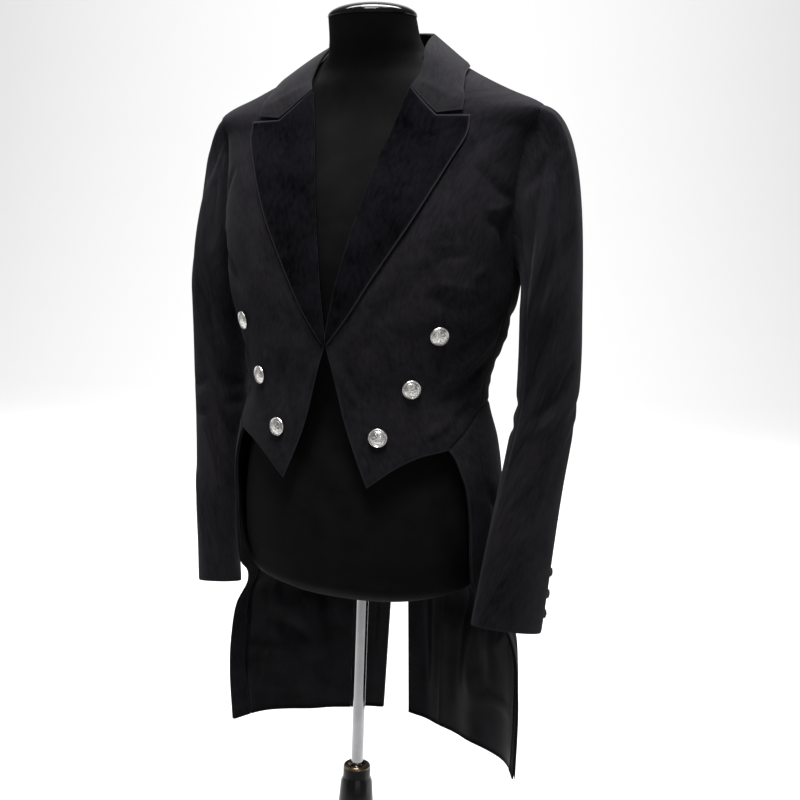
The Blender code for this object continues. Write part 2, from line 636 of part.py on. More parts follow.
def build_form():
    """The form's torso with its neck, closed at both ends."""
    shell = bmesh.new()
    loops = []
    for height in FORM_HEIGHTS:
        ring = [shell.verts.new(FORM.base_point(360 * side / FORM_SIDES, height)) for side in range(FORM_SIDES)]
        loops.append([shell.edges.new((ring[side - 1], ring[side])) for side in range(FORM_SIDES)])
    for low, high in zip(loops, loops[1:]):
        bmesh.ops.bridge_loops(shell, edges=low + high)
    bmesh.ops.holes_fill(shell, edges=loops[0] + loops[-1], sides=0)
    return add_object("form_torso", shell, "cover")


def turned(name, profile, finish, sides=32, centre=(0.0, 0.0, 0.0), frame=None):
    """A turned solid from a closed outline of (radius, height) points."""
    shell = bmesh.new()
    points = [shell.verts.new((radius, 0, height)) for radius, height in profile]
    edges = [shell.edges.new((start, end)) for start, end in zip(points, points[1:])]
    if profile[0][0] > 1e-6:
        edges.append(shell.edges.new((points[-1], points[0])))
    bmesh.ops.spin(shell, geom=points + edges, cent=(0, 0, 0), axis=(0, 0, 1), angle=2 * math.pi, steps=sides,
                   use_merge=True)
    bmesh.ops.remove_doubles(shell, verts=shell.verts, dist=1e-6)
    place = frame if frame is not None else Matrix.Translation(Vector(centre))
    bmesh.ops.transform(shell, matrix=place, verts=shell.verts)
    return add_object(name, shell, finish)


def button_profile(radius):
    """Outline of a domed shank button, its shank's foot at height 0."""
    shank, lift = radius * 0.30, radius * 0.14
    dome = radius * 0.34
    return [
        (0.0, 0.0), (shank, 0.0), (shank, lift), (radius * 0.93, lift), (radius, lift + radius * 0.08),
        (radius * 0.94, lift + radius * 0.20), (radius * 0.80, lift + radius * 0.17),
        (radius * 0.50, lift + dome * 0.90), (0.0, lift + dome * 1.12),
    ]


def seat_button(name, panel, near, outward, radius, sides, lift=SEATED):
    """A button whose shank stands just off the panel's face nearest to a point."""
    shell = bmesh.new()
    shell.from_mesh(panel.data)
    tree = BVHTree.FromBMesh(shell)
    shell.free()
    near, outward = Vector(near), Vector(outward)
    place, normal, _, _ = tree.ray_cast(near + outward * 0.02, -outward, 0.05)
    turn = Vector((0, 0, 1)).rotation_difference(normal).to_matrix().to_4x4()
    frame = Matrix.Translation(place + normal * lift) @ turn
    return turned(name, button_profile(radius), "pewter", sides, frame=frame)


def around_neck(angle, radius, height):
    """Point round the neck at an angle, a radius and a height."""
    turn = math.radians(angle)
    return np.array([radius * math.sin(turn), COLLAR_CENTRE - radius * math.cos(turn), height])


def collar_row(angle):
    """The collar's fold line and leaf edge at an angle round the neck."""
    return CollarRow(angle, *smooth_table([row.angle for row in COLLAR_ROWS], [row[1:] for row in COLLAR_ROWS], angle))


def leaf_line(angle):
    """Outer and inner points of the collar's leaf at an angle, from the fold to its edge."""
    row = collar_row(angle)
    fold = around_neck(angle, row.fold_radius, row.fold_height)
    edge = COAT.point(row.edge_angle, row.edge_height, COLLAR_LYING + VELVET)
    under_edge = COAT.point(row.edge_angle, row.edge_height, COLLAR_LYING)
    lift = COAT.normal(row.edge_angle, row.edge_height)
    along = around_neck(angle + 1, row.fold_radius, 0.0) - around_neck(angle - 1, row.fold_radius, 0.0)
    outer = [fold + (edge - fold) * share + lift * COLLAR_SWELL * math.sin(math.pi * share ** 0.7)
             for share in COLLAR_SHARES]
    inner = []
    for index, point in enumerate(outer):
        run = outer[min(index + 1, len(outer) - 1)] - outer[max(index - 1, 0)]
        normal = np.cross(run, along)
        normal *= math.copysign(1.0, normal @ lift) / np.linalg.norm(normal)
        inner.append(point - normal * VELVET)
    inner[-1] = under_edge
    return outer, inner


def collar_end():
    """Outer and inner points of the leaf's front end: gorge, notch and corner."""
    gorge = edge_place(ROLL_LINE, ROLL_LINE[-1].height) + [0.0, NOTCH_OPENING / 2]
    notch_height = NOTCH.height + NOTCH_OPENING / 2
    notch = np.array([COAT.angle_of(NOTCH.across, notch_height), notch_height])
    corner = np.array([COAT.angle_of(COLLAR_CORNER.across, COLLAR_CORNER.height), COLLAR_CORNER.height])
    places = [gorge, (gorge + notch) / 2, notch, (notch + corner) / 2, corner]
    return [[COAT.point(*place, out) for place in places] for out in (COLLAR_LYING + VELVET, COLLAR_LYING)]


def stand_line(angle, foot, facing):
    """Outer and inner points of the collar's stand at an angle, from the neckline to the fold."""
    row = collar_row(angle)
    outward = around_neck(angle, 1.0, 0.0) - around_neck(angle, 0.0, 0.0)
    top = around_neck(angle, row.fold_radius - STAND_BEHIND_FOLD, row.fold_height - STAND_BELOW_FOLD)
    climb = (top - foot) / np.linalg.norm(top - foot)
    foot = foot + climb * SEAM * 1.5
    outer = [foot + (top - foot) * share for share in (0.0, 0.5, 1.0)]
    faces = [facing + (outward - facing) * share for share in (0.0, 0.5, 1.0)]
    return outer, [point - face * STAND_THICKNESS for point, face in zip(outer, faces)]


def neckline_stations(front, back):
    """Angle, point and outward normal along the panels' neck edge, at its corners and between them."""
    places = [front[-2, 0], (front[-1, 0] + back[-1, BACK_SHOULDER_COLUMNS]) / 2]
    places += list(back[-1, BACK_SHOULDER_COLUMNS + 1:])
    points = [COAT.base_point(*place) for place in places]
    normals = [COAT.normal(*place) for place in places]
    stations = []
    for index in range(len(places) - 1):
        for share in (0.0, 0.5):
            point = points[index] * (1 - share) + points[index + 1] * share
            facing = normals[index] * (1 - share) + normals[index + 1] * share
            angle = math.degrees(math.atan2(point[0], COLLAR_CENTRE - point[1]))
            stations.append((angle, point, facing))
    stations.append((180.0, points[-1], normals[-1]))
    return stations


def round_the_neck(name, lines):
    """A wall round the neck from lines of outer and inner points, from the left front to the back."""
    mirror = np.array([-1, 1, 1])
    outer = [line[0] for line in lines]
    inner = [line[1] for line in lines]
    outer += [[point * mirror for point in line] for line in reversed(outer[:-1])]
    inner += [[point * mirror for point in line] for line in reversed(inner[:-1])]
    return wall(name, outer, inner, "twill")


def build_collar():
    """The collar's leaf and stand, each in one piece round the neck."""
    stations = neckline_stations(front_places(), back_places())
    leaf_angles = [COLLAR_ROWS[0].angle] + [station[0] for station in stations]
    round_the_neck("collar_leaf", [collar_end()] + [leaf_line(angle) for angle in leaf_angles])
    round_the_neck("collar_stand", [stand_line(*station) for station in stations])


def build_coat():
    """All the cloth pieces and the buttons."""
    fronts, sleeves = {}, {}
    for word, side in (("left", 1), ("right", -1)):
        fronts[side] = cloth(f"front_{word}", front_places(), side=side)
        cloth(f"side_body_{word}", side_places(), side=side)
        back = back_places()
        tail = tail_places()
        cloth(f"back_{word}", back, side=side)
        cloth(f"tail_{word}", tail, side=side)
        under = -CLOTH - SEAM
        cloth(f"tail_facing_{word}", tail[:, :2], out=under, thickness=CLOTH, side=side)
        lining = tail[:SKIRT_ROWS, 1:].copy()
        lining[:, 0, 0] += [COAT.degrees(SEAM * 2, *place) for place in lining[:, 0]]
        cloth(f"tail_lining_{word}", lining, "satin", under, SATIN, side)
        back_lining = back[:SKIRT_ROWS, :].copy()
        cloth(f"back_lining_{word}", back_lining, "satin", under, SATIN, side)
        cloth(f"lapel_{word}", lapel_places(), "velvet", LYING + VELVET, VELVET, side)
        sleeves[side] = sleeve_piece(f"top_sleeve_{word}", TOP_SLEEVE_TURNS, side)
        sleeve_piece(f"under_sleeve_{word}", UNDER_SLEEVE_TURNS, side)
        for number, button in enumerate(FRONT_BUTTONS, start=1):
            angle = COAT.angle_of(button.across, button.height)
            flip = np.array([side, 1, 1])
            near = COAT.point(angle, button.height) * flip
            outward = COAT.normal(angle, button.height) * flip
            seat_button(f"front_button_{word}_{number}", fronts[side], near, outward, FRONT_BUTTON_RADIUS, 16)
        for number, height in enumerate(CUFF_BUTTON_HEIGHTS, start=1):
            low, high = SLEEVE_SECTIONS[0].height, SLEEVE_SECTIONS[-1].height
            row = CAP_ROWS + ARM_ROWS * (low - height) / (low - high)
            near = sleeve_point(row, CUFF_BUTTON_TURN) * [side, 1, 1]
            outward = sleeve_normal(row, CUFF_BUTTON_TURN) * [side, 1, 1]
            seat_button(f"cuff_button_{word}_{number}", sleeves[side], near, outward, CUFF_BUTTON_RADIUS, 12,
                        CUFF_BUTTON_LIFT)
    build_collar()


def build_stand():
    """Pole, clamp, column and base, and the form with its neck cap."""
    build_form()
    neck = FORM_RINGS[-1]
    top = neck.height + SEATED
    dome = [(0.0, 0.0), (neck.half_width - 0.001, 0.0), (neck.half_width + 0.001, 0.002)]
    for step in range(1, 5):
        bend = math.radians(90 * step / 5)
        dome.append(((neck.half_width + 0.001) * math.cos(bend), 0.002 + (CAP_HEIGHT - 0.002) * math.sin(bend)))
    dome.append((0.0, CAP_HEIGHT))
    turned("neck_cap", dome, "gloss", 32, centre=(0, neck.middle, top))
    pole = [(0.0, POLE_FOOT), (POLE_RADIUS, POLE_FOOT), (POLE_RADIUS, FORM_FLOOR - SEATED),
            (0.0, FORM_FLOOR - SEATED)]
    turned("pole", pole, "chrome", 24)
    bore = POLE_RADIUS + POLE_SLIP
    clamp = [(bore, CLAMP_FOOT), (CLAMP_FOOT_RADIUS, CLAMP_FOOT), (CLAMP_FOOT_RADIUS, 0.470),
             (CLAMP_TOP_RADIUS + 0.001, CLAMP_TOP - 0.020), (CLAMP_TOP_RADIUS, CLAMP_TOP - 0.002),
             (CLAMP_TOP_RADIUS - 0.002, CLAMP_TOP), (bore, CLAMP_TOP)]
    turned("pole_clamp", clamp, "plastic", 24)
    column = [(COLUMN_BORE, COLUMN_FOOT), (COLUMN_RADIUS, COLUMN_FOOT), (COLUMN_RADIUS, CLAMP_FOOT - SEATED),
              (COLUMN_BORE, CLAMP_FOOT - SEATED)]
    turned("stand_column", column, "plastic", 24)
    hub = BASE_HUB_RADIUS
    rim = BASE_THICKNESS
    inner = COLUMN_RADIUS + SEATED
    floor = COLUMN_FOOT - SEATED
    base = [(0.0, 0.0), (BASE_RADIUS, 0.0), (BASE_RADIUS, rim - 0.004), (BASE_RADIUS - 0.004, rim),
            (hub + 0.010, rim + 0.004), (hub, rim + 0.010), (hub - 0.006, BASE_HUB_HEIGHT),
            (inner, BASE_HUB_HEIGHT), (inner, floor), (0.0, floor)]
    turned("stand_base", base, "iron", 48)


def tilt_shoulders():
    """Raise every piece towards the wearer's left above the chest, and lower it towards the right."""
    for made in bpy.data.objects:
        for vertex in made.data.vertices:
            climb = min(1.0, max(0.0, (vertex.co.z - TILT_STARTS) / (TILT_WHOLE - TILT_STARTS)))
            vertex.co.z += SHOULDER_TILT * vertex.co.x * climb * climb * (3 - 2 * climb)


def main():
    """Clear the scene and build the part."""
    for existing in list(bpy.data.objects):
        bpy.data.objects.remove(existing, do_unlink=True)
    build_coat()
    build_stand()
    tilt_shoulders()


main()
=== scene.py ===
"""The looks of a double-breasted tailcoat on a limbless dress form with its stand.

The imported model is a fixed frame, in metres: the coat faces -Y and the wearer's left is +X. Each cloth
panel is cut again, at a finer grain, on the body shape that the solids were made on. A place on that
shape is an angle round the body (0 in front, 90 at the wearer's left, 180 behind) and a height.
"""
from __future__ import annotations

import logging
import math
from dataclasses import dataclass, field
from enum import Enum
from typing import Callable, NamedTuple, Sequence

import bmesh
import bpy
import numpy as np
from mathutils import Matrix, Vector


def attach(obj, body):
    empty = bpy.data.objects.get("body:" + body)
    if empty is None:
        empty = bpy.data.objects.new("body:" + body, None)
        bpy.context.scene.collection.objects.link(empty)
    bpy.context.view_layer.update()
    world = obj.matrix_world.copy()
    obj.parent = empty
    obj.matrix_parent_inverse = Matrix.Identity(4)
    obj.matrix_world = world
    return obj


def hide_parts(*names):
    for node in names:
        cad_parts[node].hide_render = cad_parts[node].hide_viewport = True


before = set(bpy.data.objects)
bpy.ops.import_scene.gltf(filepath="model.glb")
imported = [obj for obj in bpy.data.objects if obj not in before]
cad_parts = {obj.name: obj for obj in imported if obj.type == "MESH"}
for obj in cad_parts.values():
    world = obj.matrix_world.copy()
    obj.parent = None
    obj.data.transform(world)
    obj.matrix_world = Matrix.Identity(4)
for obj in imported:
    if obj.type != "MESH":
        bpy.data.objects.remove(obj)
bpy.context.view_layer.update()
LOG = logging.getLogger("tailcoat")

# How thick each cloth is.
CLOTH = 0.0018
VELVET = 0.0024
SATIN = 0.0011

# The gap between two cloths at a seam, and how high a lapel lies over its front.
SEAM = 0.0003
HALF_SEAM = SEAM / 2
LYING = 0.0009

# How deep a seam's groove is, deeper below WAIST_TOP where the waist seam pulls in, and how far it reaches.
SEAM_GROOVE = 0.0005
WAIST_GROOVE = 0.0018
WAIST_TOP = 1.070
GROOVE_REACH = 0.0024

# How far a free edge's turn and its painted highlight reach, and how much of the cloth's thickness it rounds
# off.
EDGE_REACH = 0.0015
EDGE_TURN = 0.35

# The shoulders' rise towards the wearer's left, and the heights where it starts and is whole.
SHOULDER_TILT = 0.045
TILT_STARTS = 1.150
TILT_WHOLE = 1.420


class Side(Enum):
    """The wearer's two sides."""

    LEFT = 1
    RIGHT = -1

    @property
    def word(self) -> str:
        """The side's name in lower case."""
        return self.name.lower()


class Hold(Enum):
    """How a piece of cloth is held, in the frame's own words."""

    HUNG = "hung"
    FOLDED = "folded"


Edge = Callable[[np.ndarray], np.ndarray]
Colour = tuple[float, float, float]
Point = tuple[float, float, float]


class Ring(NamedTuple):
    """One level of a body shape: half width, depth in front and behind, and how square it is."""

    height: float
    half_width: float
    front: float
    back: float
    middle: float
    front_power: float
    back_power: float


class Place(NamedTuple):
    """A place on a body shape."""

    angle: float
    height: float


class Brim(NamedTuple):
    """A place on a front's edge, by its height and its distance from the centre front."""

    height: float
    across: float


class Scye(NamedTuple):
    """A place on the armhole: turn round the sleeve, angle round the body and height."""

    turn: float
    angle: float
    height: float


class Section(NamedTuple):
    """One level of a sleeve: centre, half sizes, inward turn of its front end and that end's rise."""

    height: float
    x: float
    y: float
    thin: float
    wide: float
    turn: float
    slant: float


class CollarRow(NamedTuple):
    """The collar at an angle round the neck: its fold line and its leaf's lower edge."""

    angle: float
    fold_radius: float
    fold_height: float
    edge_angle: float
    edge_height: float


class Curve:
    """A smooth curve through the rows of a table."""

    def __init__(self, knots: Sequence[float], values: Sequence) -> None:
        """Work out the curve's slopes.

        Args:
            knots: where each row stands, rising.
            values: a number or a list of numbers for each row.
        """
        self.knots = np.asarray(knots, dtype=float)
        self.values = np.asarray(values, dtype=float)
        self.slopes = np.gradient(self.values, self.knots, axis=0)

    def at(self, where: np.ndarray) -> np.ndarray:
        """Read the curve.

        Args:
            where: one place or an array of places.

        Returns:
            The values there.
        """
        where = np.clip(np.asarray(where, dtype=float), self.knots[0], self.knots[-1])
        index = np.clip(np.searchsorted(self.knots, where) - 1, 0, len(self.knots) - 2)
        span = self.knots[index + 1] - self.knots[index]
        share = (where - self.knots[index]) / span
        if self.values.ndim > 1:
            share, span = share[..., None], span[..., None]
        start = self.values[index] * (1 + 2 * share) * (1 - share) ** 2
        start = start + self.slopes[index] * span * share * (1 - share) ** 2
        end = self.values[index + 1] * share**2 * (3 - 2 * share)
        return start + end + self.slopes[index + 1] * span * share**2 * (share - 1)


def between(rows: Sequence, shares: np.ndarray) -> np.ndarray:
    """Read a list along straight lines between its rows.

    Args:
        rows: numbers, or rows of numbers.
        shares: row numbers, whole or not.

    Returns:
        The values there.
    """
    table = np.asarray(rows, dtype=float)
    index = np.clip(np.floor(shares).astype(int), 0, len(table) - 2)
    part = np.asarray(shares) - index
    if table.ndim > 1:
        part = part[..., None]
    return table[index] * (1 - part) + table[index + 1] * part


@dataclass(frozen=True)
class Fold:
    """A deep fold of the body cloth, by its place, its sizes and how far it lifts the cloth."""

    angle: float
    height: float
    wide: float
    tall: float
    depth: float


class BodyShape:
    """A stack of rings, read as a smooth surface."""

    def __init__(self, rings: Sequence[Ring], folds: Sequence[Fold] = ()) -> None:
        """Keep the rings as one smooth curve, and the folds that lie on it."""
        self.curve = Curve([ring.height for ring in rings], [ring[1:] for ring in rings])
        self.folds = folds

    def base(self, places: np.ndarray) -> np.ndarray:
        """Points of the surface.

        Args:
            places: angles in degrees and heights, in the last axis.

        Returns:
            The points, in the last axis.
        """
        angle, height = places[..., 0], places[..., 1]
        half_width, front, back, middle, front_power, back_power = np.moveaxis(self.curve.at(height), -1, 0)
        turn = np.radians(angle)
        facing = np.cos(turn) > 0
        depth = np.where(facing, front, back)
        power = np.where(facing, front_power, back_power)
        total = (np.abs(np.sin(turn)) / half_width) ** power + (np.abs(np.cos(turn)) / depth) ** power
        reach = total ** (-1 / power)
        for fold in self.folds:
            across = (np.abs(angle) - fold.angle) / fold.wide
            along = (height - fold.height) / fold.tall
            reach = reach + fold.depth * np.exp(-(across**2) - along**2)
        return np.stack([reach * np.sin(turn), middle - reach * np.cos(turn), height], axis=-1)

    def normal(self, places: np.ndarray) -> np.ndarray:
        """Outward unit normals at places."""
        aside, above = np.array([0.6, 0.0]), np.array([0.0, 0.002])
        round_body = self.base(places + aside) - self.base(places - aside)
        up_body = self.base(places + above) - self.base(places - above)
        across = np.cross(round_body, up_body)
        return across / np.linalg.norm(across, axis=-1, keepdims=True)

    def point(self, places: np.ndarray, out: np.ndarray | float = 0.0) -> np.ndarray:
        """Points at places, moved out along the normal."""
        places = np.asarray(places, dtype=float)
        return self.base(places) + self.normal(places) * np.asarray(out, dtype=float)[..., None]

    def angle_of(self, across: np.ndarray, height: np.ndarray) -> np.ndarray:
        """Angles in front at which the surface is a distance from the centre front."""
        across, height = np.broadcast_arrays(np.asarray(across, dtype=float), np.asarray(height, dtype=float))
        low, high = np.zeros(across.shape), np.full(across.shape, 89.0)
        for _ in range(40):
            middle = (low + high) / 2
            short = self.base(np.stack([middle, height], axis=-1))[..., 0] < across
            low, high = np.where(short, middle, low), np.where(short, high, middle)
        return (low + high) / 2

    def degrees(self, distance: float, places: np.ndarray) -> np.ndarray:
        """A distance round the body at places, as an angle."""
        return np.degrees(distance / np.linalg.norm(self.base(places)[..., :2], axis=-1))


COAT = BodyShape(
    [
        Ring(0.520, 0.232, 0.140, 0.139, 0.000, 2.2, 2.0),
        Ring(0.660, 0.229, 0.140, 0.137, 0.000, 2.2, 2.0),
        Ring(0.715, 0.220, 0.140, 0.136, 0.000, 2.2, 2.2),
        Ring(0.755, 0.199, 0.138, 0.135, 0.000, 2.2, 2.9),
        Ring(0.790, 0.187, 0.138, 0.135, 0.000, 2.2, 2.3),
        Ring(0.880, 0.187, 0.136, 0.132, 0.000, 2.1, 2.1),
        Ring(0.960, 0.189, 0.137, 0.127, 0.000, 2.1, 2.1),
        Ring(1.005, 0.182, 0.135, 0.118, 0.000, 2.1, 2.1),
        Ring(1.060, 0.167, 0.136, 0.109, 0.000, 2.1, 2.1),
        Ring(1.130, 0.182, 0.140, 0.116, 0.000, 2.1, 2.2),
        Ring(1.190, 0.198, 0.139, 0.127, 0.000, 2.3, 2.3),
        Ring(1.250, 0.203, 0.129, 0.135, 0.000, 2.6, 2.3),
        Ring(1.310, 0.206, 0.113, 0.138, 0.000, 2.8, 2.3),
        Ring(1.365, 0.209, 0.093, 0.134, 0.000, 2.8, 2.3),
        Ring(1.400, 0.216, 0.077, 0.127, 0.000, 2.7, 2.3),
        Ring(1.428, 0.226, 0.067, 0.118, 0.000, 2.5, 2.2),
        Ring(1.438, 0.209, 0.064, 0.113, 0.000, 2.4, 2.2),
        Ring(1.446, 0.189, 0.061, 0.109, 0.000, 2.3, 2.1),
        Ring(1.463, 0.152, 0.056, 0.098, 0.002, 2.2, 2.0),
        Ring(1.481, 0.118, 0.052, 0.087, 0.006, 2.0, 2.0),
        Ring(1.496, 0.094, 0.050, 0.078, 0.008, 2.0, 2.0),
        Ring(1.512, 0.081, 0.050, 0.071, 0.010, 2.0, 2.0),
    ],
    [
        Fold(112.0, 0.640, 7.0, 0.150, 0.0060),
        Fold(130.0, 0.620, 7.0, 0.140, -0.0060),
        Fold(160.0, 0.600, 7.0, 0.130, 0.0040),
        Fold(100.0, 1.085, 9.0, 0.016, -0.0025),
        Fold(150.0, 1.090, 10.0, 0.015, -0.0025),
    ],
)

FRONT_EDGE = [
    Brim(0.953, 0.0600), Brim(0.987, 0.0450), Brim(1.016, 0.0335), Brim(1.045, 0.0240),
    Brim(1.074, 0.0165), Brim(1.102, 0.0090), Brim(1.131, 0.0006),
]
ROLL_LINE = [
    Brim(1.131, 0.0006), Brim(1.178, 0.0085), Brim(1.226, 0.0170), Brim(1.273, 0.0265),
    Brim(1.320, 0.0370), Brim(1.368, 0.0480), Brim(1.417, 0.0610), Brim(1.452, 0.0700),
]
LAPEL_EDGE = [
    Brim(1.134, 0.0050), Brim(1.173, 0.0330), Brim(1.211, 0.0560), Brim(1.248, 0.0785),
    Brim(1.286, 0.1010), Brim(1.323, 0.1200), Brim(1.361, 0.1380), Brim(1.393, 0.1515),
    Brim(1.415, 0.1520),
]
NOTCH = Brim(1.417, 0.1100)
COLLAR_CORNER = Brim(1.421, 0.1420)
NOTCH_OPENING = 0.0022
PANEL_TO_ROLL = 0.0030
CLOSURE_HEIGHT = 1.131

FRONT_HEM = [Place(25.0, 0.953), Place(36.0, 0.976), Place(48.0, 0.994), Place(62.0, 1.004)]
WAIST_SEAM = [
    Place(62.0, 1.004), Place(70.0, 1.022), Place(82.0, 1.046), Place(110.0, 1.056), Place(142.0, 1.056),
]
SIDE_SEAM_ANGLE = 86.0
BACK_SEAM = [
    Place(151.0, 0.545), Place(150.0, 0.800), Place(147.0, 0.950), Place(142.0, 1.056),
    Place(139.0, 1.130), Place(131.0, 1.220), Place(121.0, 1.300),
]
TAIL_EDGE = [
    Place(98.6, 0.531), Place(97.0, 0.600), Place(96.5, 0.660), Place(97.0, 0.715), Place(97.5, 0.755),
    Place(93.0, 0.775), Place(85.0, 0.792), Place(78.0, 0.815), Place(75.3, 0.845), Place(73.1, 0.898),
    Place(70.8, 0.936), Place(69.1, 0.956), Place(66.9, 0.975), Place(64.9, 0.991), Place(62.0, 1.004),
]
VENT_TOP = 1.030
VENT_HEM = Place(171.5, 0.553)
NECK_POINT_HEIGHT = 1.500
NAPE_HEIGHT = 1.506
ARMHOLE = [
    Scye(0.0, 90.0, 1.4300), Scye(22.0, 86.0, 1.4220), Scye(44.0, 84.8, 1.3980), Scye(66.0, 83.3, 1.3620),
    Scye(88.0, 82.2, 1.3200), Scye(110.0, 82.3, 1.2750), Scye(132.0, 86.0, 1.2370), Scye(153.0, 94.5, 1.2260),
    Scye(174.0, 103.0, 1.2330), Scye(195.0, 112.5, 1.2600), Scye(216.0, 121.0, 1.3000),
    Scye(240.0, 124.0, 1.3450), Scye(264.0, 122.0, 1.3800), Scye(288.0, 116.0, 1.4060),
    Scye(312.0, 107.5, 1.4220), Scye(336.0, 98.5, 1.4290),
]
FRONT_TURNS = [132.0, 121.0, 110.0, 99.0, 88.0, 77.0, 66.0, 55.0, 44.0, 33.0, 22.0, 11.0, 0.0]
SIDE_TURNS = [132.0, 153.0, 174.0, 195.0, 216.0]
BACK_TURNS = [216.0, 228.0, 240.0, 252.0, 264.0, 276.0, 288.0, 300.0, 312.0, 324.0, 336.0, 348.0, 360.0]
SIDE_HEIGHTS = [1.038, 1.070, 1.105, 1.140, 1.172, 1.204, 1.233]
FRONT_WAIST_ANGLES = [62.0, 69.0, 77.0, SIDE_SEAM_ANGLE]
SIDE_WAIST_ANGLES = [SIDE_SEAM_ANGLE, 98.0, 112.0, 127.0, 142.0]

WAIST_CURVE = Curve([place.angle for place in WAIST_SEAM], [place.height for place in WAIST_SEAM])
BACK_SEAM_CURVE = Curve([place.height for place in BACK_SEAM], [place.angle for place in BACK_SEAM])
TAIL_CURVE = Curve([place.height for place in TAIL_EDGE], [place.angle for place in TAIL_EDGE])
HEM_CURVE = Curve(np.linspace(0, 5, len(FRONT_HEM)), FRONT_HEM)


def brim_place(rows: Sequence[Brim], heights: np.ndarray, inset: np.ndarray | float = 0.0) -> np.ndarray:
    """Places of a front's edge at heights, moved in from the centre front."""
    curve = Curve([row.height for row in rows], [row.across for row in rows])
    heights = np.asarray(heights, dtype=float)
    return np.stack([COAT.angle_of(curve.at(heights) + inset, heights), heights], axis=-1)


def armhole_place(turns: np.ndarray) -> np.ndarray:
    """Places of the armhole at turns round the sleeve."""
    rows = ARMHOLE[-2:] + ARMHOLE + ARMHOLE[:3]
    knots = [row.turn - 360 for row in ARMHOLE[-2:]] + [row.turn for row in ARMHOLE]
    knots += [row.turn + 360 for row in ARMHOLE[:3]]
    return Curve(knots, [row[1:] for row in rows]).at(np.asarray(turns, dtype=float) % 360.0)


def waist_place(angles: np.ndarray, up: float) -> np.ndarray:
    """Places of the waist seam at angles, moved up by a distance."""
    return np.stack([angles, WAIST_CURVE.at(angles) + up], axis=-1)


def beside(places: np.ndarray, distance: float) -> np.ndarray:
    """Places moved round the body by a distance."""
    return np.stack([places[..., 0] + COAT.degrees(distance, places), places[..., 1]], axis=-1)


@dataclass
class Cut:
    """Where a panel lies: four edges of places, each read by its own column or row number."""

    columns: float
    rows: float
    bottom: Edge
    top: Edge
    left: Edge
    right: Edge
    fade: float = 1.0

    def places(self, columns: np.ndarray, rows: np.ndarray) -> np.ndarray:
        """A grid of places between the four edges.

        Args:
            columns: column numbers, whole or not.
            rows: row numbers, whole or not.

        Returns:
            An array of rows by columns by angle and height.
        """
        ends = np.array([0.0, self.columns])
        bottom, bottom_ends = self.bottom(columns), self.bottom(ends)
        top, top_ends = self.top(columns), self.top(ends)
        along = (columns / self.columns)[:, None]
        up = (rows / self.rows)[:, None, None]
        bottom_bend = bottom - bottom_ends[0] * (1 - along) - bottom_ends[1] * along
        top_bend = top - top_ends[0] * (1 - along) - top_ends[1] * along
        across = self.left(rows)[:, None] * (1 - along) + self.right(rows)[:, None] * along
        return across + bottom_bend * (1 - up) ** self.fade + top_bend * up**self.fade


def joined(number: np.ndarray, change: float, low: Edge, high: Edge) -> np.ndarray:
    """An edge in two parts that meet at a row or column number."""
    below = (number <= change)[:, None]
    return np.where(below, low(np.minimum(number, change)), high(np.maximum(number, change)))


def upright(angle: float, height: np.ndarray, aside: float) -> np.ndarray:
    """Places at heights on one angle round the body, moved round it by a distance."""
    return beside(np.stack([np.full_like(height, angle), height], axis=-1), aside)


def front_cut() -> Cut:
    """A front: front edge and roll line, hem and waist seam, side seam and armhole, shoulder."""
    columns, rows = 8.0, 18.0
    hem_end, closure, scye = 5.0, 6.0, 6.0
    corner = brim_place(FRONT_EDGE, np.array([FRONT_EDGE[0].height])) - HEM_CURVE.at(np.array([0.0]))
    side_start = waist_place(np.array([SIDE_SEAM_ANGLE]), HALF_SEAM)[0, 1]

    def hem(number: np.ndarray) -> np.ndarray:
        """The free hem, from the front's point to the waist seam."""
        return HEM_CURVE.at(number) + corner * np.clip(1 - number, 0, 1)[:, None]

    def waist(number: np.ndarray) -> np.ndarray:
        """The waist seam, from the hem to the side seam."""
        return waist_place(between(FRONT_WAIST_ANGLES, number - hem_end), HALF_SEAM)

    def front_edge(number: np.ndarray) -> np.ndarray:
        """The free front edge, below the closure."""
        start = FRONT_EDGE[0].height
        return brim_place(FRONT_EDGE, start + (CLOSURE_HEIGHT - start) * number / closure)

    def roll(number: np.ndarray) -> np.ndarray:
        """The roll line above the closure, and the neckline above that."""
        share = (number - closure) / (rows - closure)
        height = CLOSURE_HEIGHT + (NECK_POINT_HEIGHT - CLOSURE_HEIGHT) * share
        top = ROLL_LINE[-1].height
        on_roll = brim_place(ROLL_LINE, np.minimum(height, top), PANEL_TO_ROLL * np.minimum(1.0, share / 0.2))
        start = brim_place(ROLL_LINE, np.array([top]), PANEL_TO_ROLL)
        climb = np.clip((height - top) / (NECK_POINT_HEIGHT - top), 0, 1)[:, None]
        neck = np.array([90.0, NECK_POINT_HEIGHT])
        neckline = start + (neck - start) * np.concatenate([climb**0.8, climb], axis=-1)
        return np.where((height <= top)[:, None], on_roll, neckline)

    def side_seam(number: np.ndarray) -> np.ndarray:
        """The side seam, from the waist to the armhole."""
        return upright(SIDE_SEAM_ANGLE, between([side_start] + SIDE_HEIGHTS[1:], number), -HALF_SEAM)

    def armhole(number: np.ndarray) -> np.ndarray:
        """The front's share of the armhole."""
        return armhole_place(between(FRONT_TURNS, number - scye))

    def shoulder(number: np.ndarray) -> np.ndarray:
        """The shoulder seam, from the neck out."""
        height = NECK_POINT_HEIGHT + (ARMHOLE[0].height - NECK_POINT_HEIGHT) * number / columns
        return upright(90.0, height, -HALF_SEAM)

    return Cut(columns, rows, lambda number: joined(number, hem_end, hem, waist), shoulder,
               lambda number: joined(number, closure, front_edge, roll),
               lambda number: joined(number, scye, side_seam, armhole))


